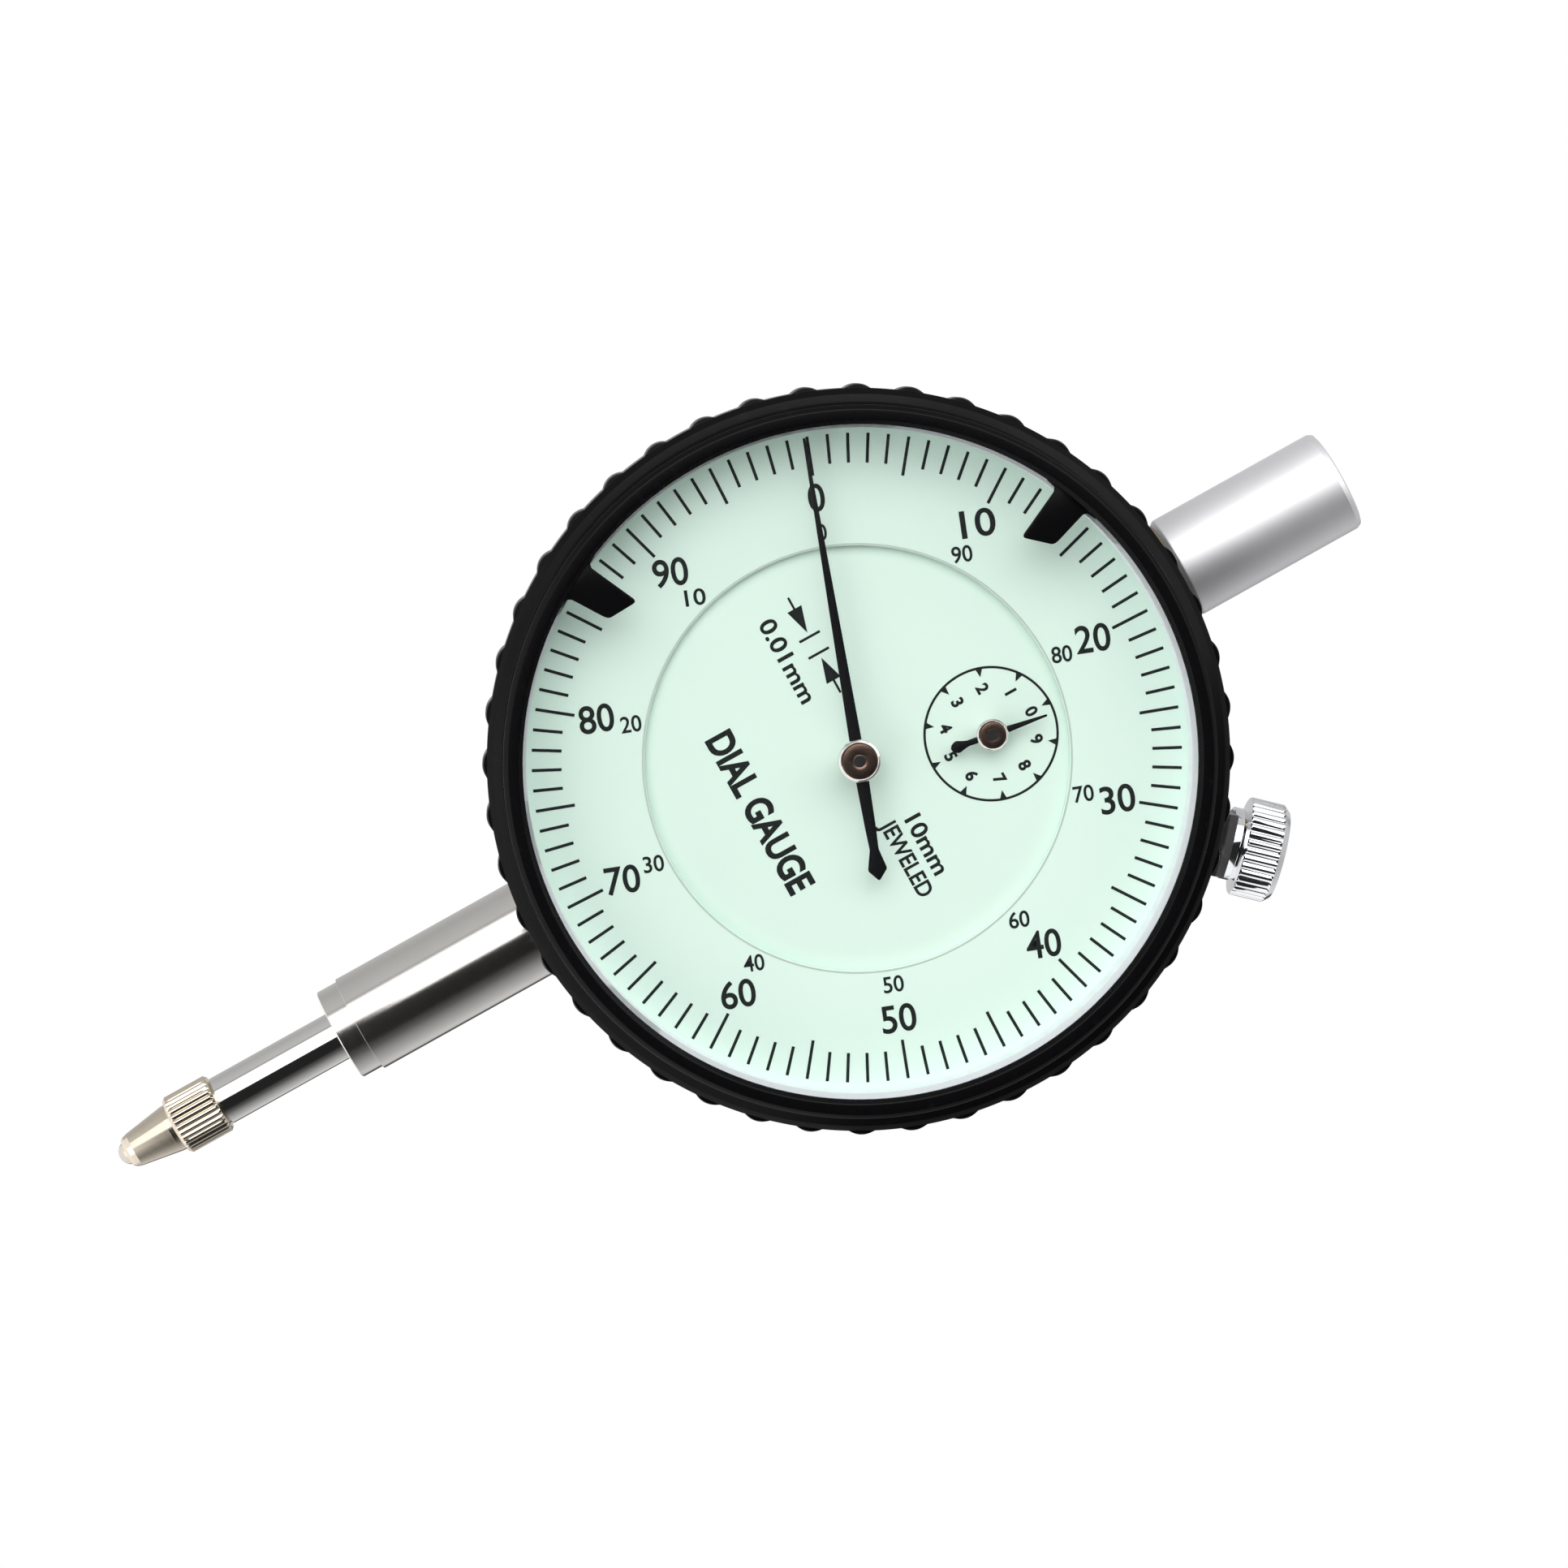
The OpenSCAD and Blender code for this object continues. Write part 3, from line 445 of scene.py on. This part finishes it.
def lettering(text, height, at, turn, front, width=None, bold=0.0):
    """Printed lettering of that figure height, centred on at (x, z from the dial's centre)."""
    curve = bpy.data.curves.new("lettering", "FONT")
    curve.resolution_u = 5
    curve.offset = bold
    curve.extrude = 0.5
    holder = bpy.data.objects.new("lettering", curve)
    bpy.context.scene.collection.objects.link(holder)
    sizes = []
    for body in ("0", text):
        curve.body = body
        bpy.context.view_layer.update()
        data = bpy.data.meshes.new_from_object(holder.evaluated_get(bpy.context.evaluated_depsgraph_get()))
        xs, ys = [v.co.x for v in data.vertices], [v.co.y for v in data.vertices]
        sizes.append((min(xs), max(xs), min(ys), max(ys)))
        if body != text:
            bpy.data.meshes.remove(data)
    tall = height / (sizes[0][3] - sizes[0][2])
    wide = width / (sizes[1][1] - sizes[1][0]) if width else tall
    mid_x = (sizes[1][0] + sizes[1][1]) / 2
    mid_y = (sizes[0][2] + sizes[0][3]) / 2
    mesh = bmesh.new()
    mesh.from_mesh(data)
    bpy.data.meshes.remove(data)
    bpy.data.objects.remove(holder)
    bpy.data.curves.remove(curve)
    for v in mesh.verts:
        v.co = ((v.co.x - mid_x) * wide, (v.co.y - mid_y) * tall, front if v.co.z < 0 else front - print_t)
    bmesh.ops.recalc_face_normals(mesh, faces=mesh.faces[:])
    mesh.transform(along_y(dial_centre + Vector((at[0], 0, at[1])), turn))
    return mesh


def on_dial(angle, r):
    return (-r * sin(radians(angle)), r * cos(radians(angle)))


division = 360 / 100
tick_w = 0.24
tick_out_r = 25.2
tick_in_r = 22.9
long_tick_in_r = 22.15
figure_r = 20.45
figure_h = 2.2
inner_figure_r = 17.75
inner_figure_h = 1.3
one_figure_w = 0.59
two_figures_w = 1.24
figure_bold = 0.013
outer_print = []
for tick in range(100):
    inner = tick_in_r if tick % 5 else long_tick_in_r
    outer_print.append(bar(scale_angle - tick * division, inner, tick_out_r, tick_w, outer_dial_front))
for ten in range(10):
    angle = scale_angle - ten * 10 * division
    backwards = (100 - ten * 10) % 100
    for value, r, h in ((ten * 10, figure_r, figure_h), (backwards, inner_figure_r, inner_figure_h)):
        width = h * (one_figure_w if value == 0 else two_figures_w)
        outer_print.append(lettering(str(value), h, on_dial(angle, r), hand_angle, outer_dial_front, width,
            figure_bold))
piece("dial_print_scale", merged(outer_print), "bezel_body", ink)
# a thin grey ring of painted shade on the outer dial's inner edge, where the step down to the inner dial
# casts its shadow
step_shade_in_r = step_r + 0.06
step_shade_out_r = step_r + 0.2
step_shade_ring = [(step_shade_in_r, outer_dial_front - print_t), (step_shade_out_r, outer_dial_front - print_t),
    (step_shade_out_r, outer_dial_front), (step_shade_in_r, outer_dial_front)]
piece("dial_step_painted_shade", turned(step_shade_ring, along_y(dial_centre), 256), "bezel_body", step_shade_paint)

small_ring_r = 5.08
small_ring_out_r = small_ring_r + 0.19
small_bold = 0.035
small_figure_r = 3.58
small_figure_h = 1.02
dial_place = along_y(dial_centre)
small_place = along_y(small_centre)
print_front = inner_dial_front - print_t


def flat_shape(outline, place=dial_place):
    """A printed shape on the inner dial."""
    return plate(outline, print_front, inner_dial_front, place, 0)


def arrow(tail, base, tip, y, line, half):
    """A line from tail that ends in an arrowhead from base to tip."""
    low, high = sorted((tail, base))
    shaft = [(low, y - line / 2), (high, y - line / 2), (high, y + line / 2), (low, y + line / 2)]
    return [flat_shape(shaft), flat_shape([(base, y - half), (tip, y), (base, y + half)])]


symbol_y = 1.35
arrow_line = 0.18
arrow_half = 0.62
line_half_w = 0.1
line_half_h = 0.9
inner_print = (arrow(-13.5, -12.5, -10.4, symbol_y, arrow_line, arrow_half)
    + arrow(-5.1, -6.2, -8.2, symbol_y, arrow_line, arrow_half))
for x in (-10.05, -8.6):
    inner_print.append(flat_shape([(x - line_half_w, symbol_y - line_half_h),
        (x + line_half_w, symbol_y - line_half_h), (x + line_half_w, symbol_y + line_half_h),
        (x - line_half_w, symbol_y + line_half_h)]))
for text, h, at, width, bold in (("0.01mm", 1.4, (-9.25, -1.05), 7.1, 0.02),
        ("10mm", 1.4, (8.5, 1.51), 5, 0.02), ("JEWELED", 1.35, (8.67, -0.4), 6.6, 0.02),
        ("DIAL GAUGE", 2.3, (0, -8.6), 13.8, 0.035)):
    inner_print.append(lettering(text, h, at, 0, inner_dial_front, width, bold))
inner_print.append(turned([(small_ring_r, print_front), (small_ring_out_r, print_front),
    (small_ring_out_r, inner_dial_front), (small_ring_r, inner_dial_front)], small_place, 128))
small_offset = small_centre - dial_centre
for value in range(10):
    angle = value * 36
    place = along_y(small_centre, angle)
    wedge = [(-0.25, small_ring_r), (0, small_ring_r - 0.62), (0.25, small_ring_r)]
    inner_print.append(flat_shape(wedge, place))
    x, z = on_dial(angle, small_figure_r)
    inner_print.append(lettering(str(value), small_figure_h, (small_offset.x + x, small_offset.z + z), 0,
        inner_dial_front, bold=small_bold))
piece("dial_print_centre", merged(inner_print), "case_body", ink)


# ---------------------------------------------------------------- hands and their hubs
def two_sided(right):
    """Closed outline from points down the right side, top to bottom, mirrored for the left."""
    return right + [(-u, v) for u, v in reversed(right) if u > 1e-9]


long_hand = two_sided([(0.1, 25.15), (0.3, 13.6), (0.5, 0), (0.51, -1.5), (0.42, -5.5), (0.35, -7),
    (0.73, -8.5), (0.71, -8.65), (0.08, -9.4), (0, -9.42)])
needle = plate(long_hand, pointer_front, pointer_back, along_y(dial_centre, needle_angle), 0.03)
piece("long_hand_needle", needle, "long_hand", finishes["pointer_black"], ["main_pointer"])
short_hand = two_sided([(0.08, 4.5), (0.32, 0), (0.25, -0.8), (0.23, -2), (0.34, -2.4), (0.48, -2.8),
    (0.42, -3.05), (0.25, -3.3), (0, -3.4)])
piece("short_hand_needle", plate(short_hand, small_pointer_front, small_pointer_back,
    along_y(small_centre, small_hand_angle), 0.025), "short_hand", finishes["pointer_black"],
    ["small_pointer"])


def hub(name, r, front, seat, back, boss_r, centre, body, node):
    """A bright coned collar, and a darker flat boss inside it with a dimple in its middle."""
    boss_front = front + 0.04 * r
    dish = front + 0.26 * r
    dome_r = r * 0.85
    dimple_r = r * 0.32
    collar = rounded([(boss_r * 0.5, back), (boss_r * 0.5, dish), (dome_r, dish),
        (dome_r, front + 0.03, 0.02), (dome_r + 0.05, front, 0.03),
        (r - 0.05, front + 0.06 * r, 0.03), (r, front + 0.12 * r, 0.03),
        (r, seat, 0.05), (boss_r, seat, 0.02), (boss_r, back, 0.05)], 0.01)
    ring = piece(name + "_collar", turned(collar, along_y(centre), 128), body, finishes["hub_nickel"],
        [node])
    flat_first(ring.data)
    dimple = [(dimple_r * k / 5, boss_front + 0.055 * r * (1 - (k / 5) ** 2)) for k in range(6)]
    boss = dimple + rounded([(dimple_r * 1.25, boss_front - 0.012 * r),
        (dome_r - 0.08, boss_front + 0.01 * r, 0.05), (dome_r - 0.01, boss_front + 0.1 * r, 0.02),
        (dome_r - 0.01, dish), (0, dish)], 0, closed=False)
    piece(name + "_boss", turned(boss, along_y(centre), 128, closed=False), body, hub_dome)


hub_extra = 0.1  # the hubs are a little wider than in CAD
hub("long_hand_hub", hub_r + hub_extra, hub_front, pointer_front, hub_back, 1.2, dial_centre, "long_hand",
    "main_pointer_hub")
hub("short_hand_hub", small_hub_r + hub_extra, small_hub_front, small_pointer_front, small_hub_back, 0.9,
    small_centre, "short_hand", "small_pointer_hub")


# ---------------------------------------------------------------- limit markers
marker_in_r = 21.2
foot_r = 26.9
for side, node, body, angle in ((1, "limit_marker_left", "left_marker", left_marker_angle),
        (-1, "limit_marker_right", "right_marker", right_marker_angle)):
    foot = [(foot_r * sin(radians(a)), foot_r * cos(radians(a)))
        for a in (5.3, 3.5, 1.75, 0, -1.75, -3.5, -5.3)]
    tab = [(u * side, v + marker_in_r) for u, v in ((-2.4, 4.55), (-1.62, 4.5), (-1.42, 4.2), (-1.2, 1.45),
        (-1.12, 1.15), (-0.95, 0.95), (0.8, 0.1), (1, 0.03), (1.15, 0.12), (1.2, 0.32), (1.42, 4.2),
        (1.62, 4.5), (2.4, 4.55))]
    outline = foot + (tab if side > 0 else list(reversed(tab)))
    piece(node + "_tab", plate(outline, marker_front, marker_back, along_y(dial_centre, angle), 0.06), body,
        finishes["marker_black"], [node])


# ---------------------------------------------------------------- dust cap, stem, ball, contact point, clamp
cap_thread_r = 3.2
cap_bore_r = 2.9
cap_wall = 1.1
cap_bore_low = cap_high - 10
cap_outline = rounded([(cap_thread_r, cap_low), (cap_r - 0.3, cap_low, 0.2), (cap_r, cap_low + 0.4, 0.3),
    (cap_r, cap_high - 0.5, 0.12), (cap_r - 0.18, cap_high - 0.12, 0.1), (cap_r - 0.55, cap_high, 0.2),
    (0, cap_high), (0, cap_high - cap_wall), (cap_bore_r, cap_high - cap_wall), (cap_bore_r, cap_bore_low),
    (cap_thread_r, cap_bore_low)], 0, closed=False)
piece("dust_cap_turned", turned(cap_outline, along_z(), 256), "case_body", finishes["cap_aluminium"],
    ["dust_cap"])

stem_low, stem_high = (v.z for v in box_mm("stem"))
stem_r = 4
stem_bore_r = 2.6
stem_shank_r = 3.5
end_band_r = stem_r - 0.2
stem_seat = stem_high - 1.9
wall_low = stem_seat - 17.6
stem_outline = rounded([(stem_bore_r, stem_high), (stem_shank_r, stem_high, 0.1),
    (stem_shank_r, stem_seat, 0.1), (stem_r, stem_seat, 0.05), (stem_r, wall_low, 0.02),
    (end_band_r, wall_low, 0.02), (end_band_r, stem_low, 0.12), (stem_bore_r, stem_low, 0.05)], 0)
piece("stem_ground", turned(stem_outline, along_z(), 256), "case_body", finishes["stem_steel"],
    ["stem"])

ball_r = 1
ball_steps = 24
ball_arc = [(ball_r * sin(pi * k / ball_steps), ball_low + ball_r * (1 - cos(pi * k / ball_steps)))
    for k in range(ball_steps + 1)]
piece("contact_ball_ground", turned(ball_arc, along_z(), 96, closed=False), "spindle_body",
    finishes["ball_carbide"], ["contact_ball"])

contact_grooves = 30


def ribs(count, deep, near):
    """Straight knurl: convex ribs with sharp valleys, across the band where near(radius, position) holds."""
    def cut(r, w, angle):
        if not near(r, w):
            return 0
        return -deep * (1 - abs(cos(angle * count / 2)))
    return cut


collar_r = 2.45
thread_r = 1.25
thread_high = contact_high + 5
contact_outline = rounded([(0, thread_high), (thread_r, thread_high), (thread_r, contact_high),
    (collar_r - 0.2, contact_high, 0.1), (collar_r, contact_high - 0.22, 0),
    (collar_r, contact_high - 0.6, 0), (collar_r, contact_high - 3.3, 0), (collar_r, contact_high - 3.68, 0),
    (collar_r - 0.2, contact_high - 3.9, 0.1), (1.97, contact_high - 3.95, 0.05),
    (1.95, contact_high - 4.35, 0.25), (1.42, ball_low + 1.35, 0.25), (1.3, ball_low + 0.95, 0.15),
    (1.1, ball_low + 0.68, 0.1), (0, ball_low + 0.68)], 0, closed=False)
contact_band = (contact_high - 3.7, contact_high - 0.2)
piece("contact_point_knurled", turned(contact_outline, along_z(), contact_grooves * 12,
    ribs(contact_grooves, 0.14, lambda r, w: r > collar_r - 0.05 and contact_band[0] <= w <= contact_band[1]),
    closed=False), "spindle_body", finishes["contact_nickel"], ["contact_point"])

clamp_outer_r = 30.5
clamp_half = 5 / 2
clamp_steps = 16
clamp_in_r = 27.15
clamp_lip_r = 28.35
clamp_lip_back = -6.45
clamp_front, clamp_back = depths("clamp_plate")
clamp_outline = rounded([(clamp_outer_r - 0.9, clamp_front, 0.4), (clamp_outer_r, clamp_front + 1.1, 0.6),
    (clamp_outer_r, clamp_back, 0.5), (clamp_in_r, clamp_back, 0.1), (clamp_in_r, clamp_lip_back, 0.05),
    (clamp_lip_r, clamp_lip_back, 0.05), (clamp_lip_r, clamp_front, 0.1)], 0.1)
clamp_mesh = bmesh.new()
sections = []
for i in range(clamp_steps + 1):
    u = clamp_half * (2 * i / clamp_steps - 1)
    sections.append([clamp_mesh.verts.new((u, sqrt(r * r - u * u), w)) for r, w in clamp_outline])
for a, b in zip(sections, sections[1:]):
    for j in range(len(a)):
        clamp_mesh.faces.new((a[j - 1], a[j], b[j], b[j - 1]))
ends = [clamp_mesh.faces.new(sections[0]), clamp_mesh.faces.new(sections[-1][::-1])]
bmesh.ops.recalc_face_normals(clamp_mesh, faces=clamp_mesh.faces[:])
bmesh.ops.bevel(clamp_mesh, geom=[e for f in ends for e in f.edges], offset=0.12, segments=2, profile=0.5,
    affect="EDGES", clamp_overlap=True)
clamp_mesh.transform(along_y(dial_centre, -knob_angle))
flat_first(piece("clamp_plate_bent", clamp_mesh, "clamp_plate_body", finishes["clamp_black"],
    ["clamp_plate"], 60).data)

knob_r = 3.95
knob_start, knob_end = 31.7, 34.9
knob_neck_r = 2.9
knob_grooves = 36
screw_r = 1.2
screw_tip = 22.9
neck_start = clamp_outer_r + 0.05
knob_outline = rounded([(0, screw_tip), (screw_r, screw_tip, 0.05), (screw_r, neck_start),
    (knob_neck_r, neck_start, 0.1),
    (knob_neck_r, knob_start - 0.35, 0.2), (knob_neck_r - 0.15, knob_start - 0.05, 0.05),
    (knob_r - 0.1, knob_start, 0.03), (knob_r, knob_start + 0.1, 0), (knob_r, knob_start + 0.2, 0),
    (knob_r, knob_end - 0.65, 0), (knob_r, knob_end - 0.5, 0), (knob_r - 0.45, knob_end, 0.1),
    (1.1, knob_end, 0.1), (0.8, knob_end - 0.15, 0.1), (0, knob_end - 0.15)], 0, closed=False)
knob_band = (knob_start + 0.05, knob_end - 0.55)
knurl = ribs(knob_grooves, 0.2, lambda r, w: r > knob_r - 0.15 and knob_band[0] <= w <= knob_band[1])
piece("clamp_knob", turned(knob_outline, along_knob(), knob_grooves * 12, knurl, closed=False),
    "clamp_screw_body", finishes["knob_chrome"], ["clamp_screw"])


# ---------------------------------------------------------------- return spring
spring_low, spring_high = (v.z for v in box_mm("return_spring"))
coil_r = 0.8
wire_r = 0.13
coils = 15
per_coil = 20
wire_sides = 10
path = []
for step in range(coils * per_coil + 1):
    turn = tau * step / per_coil
    path.append(Vector((coil_r * cos(turn), coil_r * sin(turn),
        spring_low + wire_r + (spring_high - spring_low - 2 * wire_r) * step / (coils * per_coil))))
wire = bmesh.new()
rings = []
for i, point in enumerate(path):
    ahead = (path[min(i + 1, len(path) - 1)] - path[max(i - 1, 0)]).normalized()
    out = Vector((point.x, point.y, 0)).normalized()
    up = ahead.cross(out).normalized()
    out = up.cross(ahead)
    around = [tau * k / wire_sides for k in range(wire_sides)]
    rings.append([wire.verts.new(point + wire_r * (cos(a) * out + sin(a) * up)) for a in around])
for a, b in zip(rings, rings[1:]):
    for k in range(wire_sides):
        n = (k + 1) % wire_sides
        wire.faces.new((a[k], b[k], b[n], a[n]))
wire.faces.new(rings[0])
wire.faces.new(list(reversed(rings[-1])))
bmesh.ops.recalc_face_normals(wire, faces=wire.faces[:])
wire.transform(axes((1, 0, 0), (0, 1, 0), (0, 0, 1), (anchor_centre.x, 0, 0)))
spring = piece("return_spring_wound", wire, None, finishes["spring_steel"], ["return_spring"])
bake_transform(spring)


# ---------------------------------------------------------------- floor, light and camera
floor_drop = 0.8
floor_r = 1.6
floor_t = 4
floor_mesh = turned([(0, 0), (floor_r / MM, 0), (floor_r / MM, floor_t), (0, floor_t)],
    axes((1, 0, 0), (0, 1, 0), (0, 0, 1), (0, 0, -floor_drop / MM)), 128, closed=False)
floor_paint = surface("floor_pale", (0.9, 0.9, 0.9), 0.6, mottle=(6, 0.01), grain=(200, 200, 200), depth=2)
floor_paint.node_tree.nodes["Principled BSDF"].inputs["Emission Color"].default_value = (1, 1, 1, 1)
floor_paint.node_tree.nodes["Principled BSDF"].inputs["Emission Strength"].default_value = 0.5
floor = piece("floor", floor_mesh, None, floor_paint)


def area_light(name, towards, distance, size, power):
    """A square soft light that faces the dial from a direction."""
    data = bpy.data.lights.new(name, "AREA")
    data.energy = power
    data.size = size
    obj = bpy.data.objects.new(name, data)
    away = Vector(towards).normalized()
    obj.location = dial_centre * MM + away * distance
    obj.rotation_euler = away.to_track_quat("Z", "Y").to_euler()
    bpy.context.scene.collection.objects.link(obj)


area_light("key", (-0.45, -0.85, 0.2), 0.9, 0.8, 3.3)
area_light("top", (-0.1, -0.6, 1), 1.0, 0.8, 3)
area_light("low", (-0.1, -0.7, -1), 1.0, 0.8, 2)


def studio_world():
    """White to the camera. To reflections and soft light it changes with the direction round the object:
    brightest at the front left, dark at the front right and in a strip behind. High above and far below
    it is an even grey."""
    world = bpy.data.worlds.new("studio")
    world.use_nodes = True
    bpy.context.scene.world = world
    nodes, links = world.node_tree.nodes, world.node_tree.links
    nodes.clear()
    where = nodes.new("ShaderNodeTexCoord")
    split = nodes.new("ShaderNodeSeparateXYZ")
    links.new(where.outputs["Generated"], split.inputs["Vector"])
    flip = nodes.new("ShaderNodeMath")
    flip.operation = "MULTIPLY"
    flip.inputs[1].default_value = -1
    links.new(split.outputs["Y"], flip.inputs[0])
    round_angle = nodes.new("ShaderNodeMath")
    round_angle.operation = "ARCTAN2"
    links.new(split.outputs["X"], round_angle.inputs[0])
    links.new(flip.outputs["Value"], round_angle.inputs[1])
    share = nodes.new("ShaderNodeMapRange")
    share.inputs["From Min"].default_value = -pi
    share.inputs["From Max"].default_value = pi
    links.new(round_angle.outputs["Value"], share.inputs["Value"])
    ramp = nodes.new("ShaderNodeValToRGB")
    links.new(share.outputs["Result"], ramp.inputs["Fac"])
    # degrees from straight in front, towards +X, and the brightness there
    stops = [(-180, 0.6), (-120, 0.5), (-68, 0.62), (-62, 0.3), (-57, 1.6), (-18, 1.7), (-11, 0.02),
        (40, 0.02), (60, 0.12), (88, 0.4), (125, 0.7), (140, 0.7), (146, 0.08), (163, 0.08), (170, 0.6),
        (180, 0.6)]
    sky_strength = 2.0
    dome_level = 0.6
    elements = ramp.color_ramp.elements
    while len(elements) < len(stops):
        elements.new(0.5)
    for element, (angle, level) in zip(elements, stops):
        element.position = (angle + 180) / 360
        element.color = [level / sky_strength] * 3 + [1]
    height = nodes.new("ShaderNodeMath")
    height.operation = "ABSOLUTE"
    links.new(split.outputs["Z"], height.inputs[0])
    lift = nodes.new("ShaderNodeMapRange")
    lift.interpolation_type = "SMOOTHSTEP"
    lift.inputs["From Min"].default_value = 0.6
    lift.inputs["From Max"].default_value = 0.9
    links.new(height.outputs["Value"], lift.inputs["Value"])
    dome = nodes.new("ShaderNodeMix")
    dome.data_type = "RGBA"
    dome.inputs["B"].default_value = [dome_level / sky_strength] * 3 + [1]
    links.new(lift.outputs["Result"], dome.inputs["Factor"])
    links.new(ramp.outputs["Color"], dome.inputs["A"])
    bright = nodes.new("ShaderNodeBackground")
    links.new(dome.outputs["Result"], bright.inputs["Color"])
    bright.inputs["Strength"].default_value = sky_strength
    plain = nodes.new("ShaderNodeBackground")
    plain.inputs["Color"].default_value = (1, 1, 1, 1)
    ray = nodes.new("ShaderNodeLightPath")
    pick = nodes.new("ShaderNodeMixShader")
    links.new(ray.outputs["Is Camera Ray"], pick.inputs["Fac"])
    links.new(bright.outputs["Background"], pick.inputs[1])
    links.new(plain.outputs["Background"], pick.inputs[2])
    out = nodes.new("ShaderNodeOutputWorld")
    links.new(pick.outputs["Shader"], out.inputs["Surface"])


studio_world()
bpy.context.scene.view_settings.view_transform = "Standard"

camera_azimuth = -5.227
camera_elevation = -0.401
camera_roll = 60.846
camera_distance = 434.1
camera_target = Vector((-0.863, -7, 29.593))
camera_data = bpy.data.cameras.new("camera")
camera_data.lens = 128.16
camera_data.sensor_width = 36
camera_data.clip_start = 0.01
camera = bpy.data.objects.new("camera", camera_data)
az, el, roll = (radians(v) for v in (camera_azimuth, camera_elevation, camera_roll))
away = Vector((sin(az) * cos(el), -cos(az) * cos(el), sin(el)))
level_right = (-away).cross(Vector((0, 0, 1))).normalized()
level_up = level_right.cross(-away)
right = cos(roll) * level_right + sin(roll) * level_up
up = -sin(roll) * level_right + cos(roll) * level_up
eye = (camera_target + away * camera_distance) * MM
camera.matrix_world = Matrix([[right[i], up[i], away[i], eye[i]] for i in range(3)] + [[0, 0, 0, 1]])
bpy.context.scene.collection.objects.link(camera)
bpy.context.scene.camera = camera
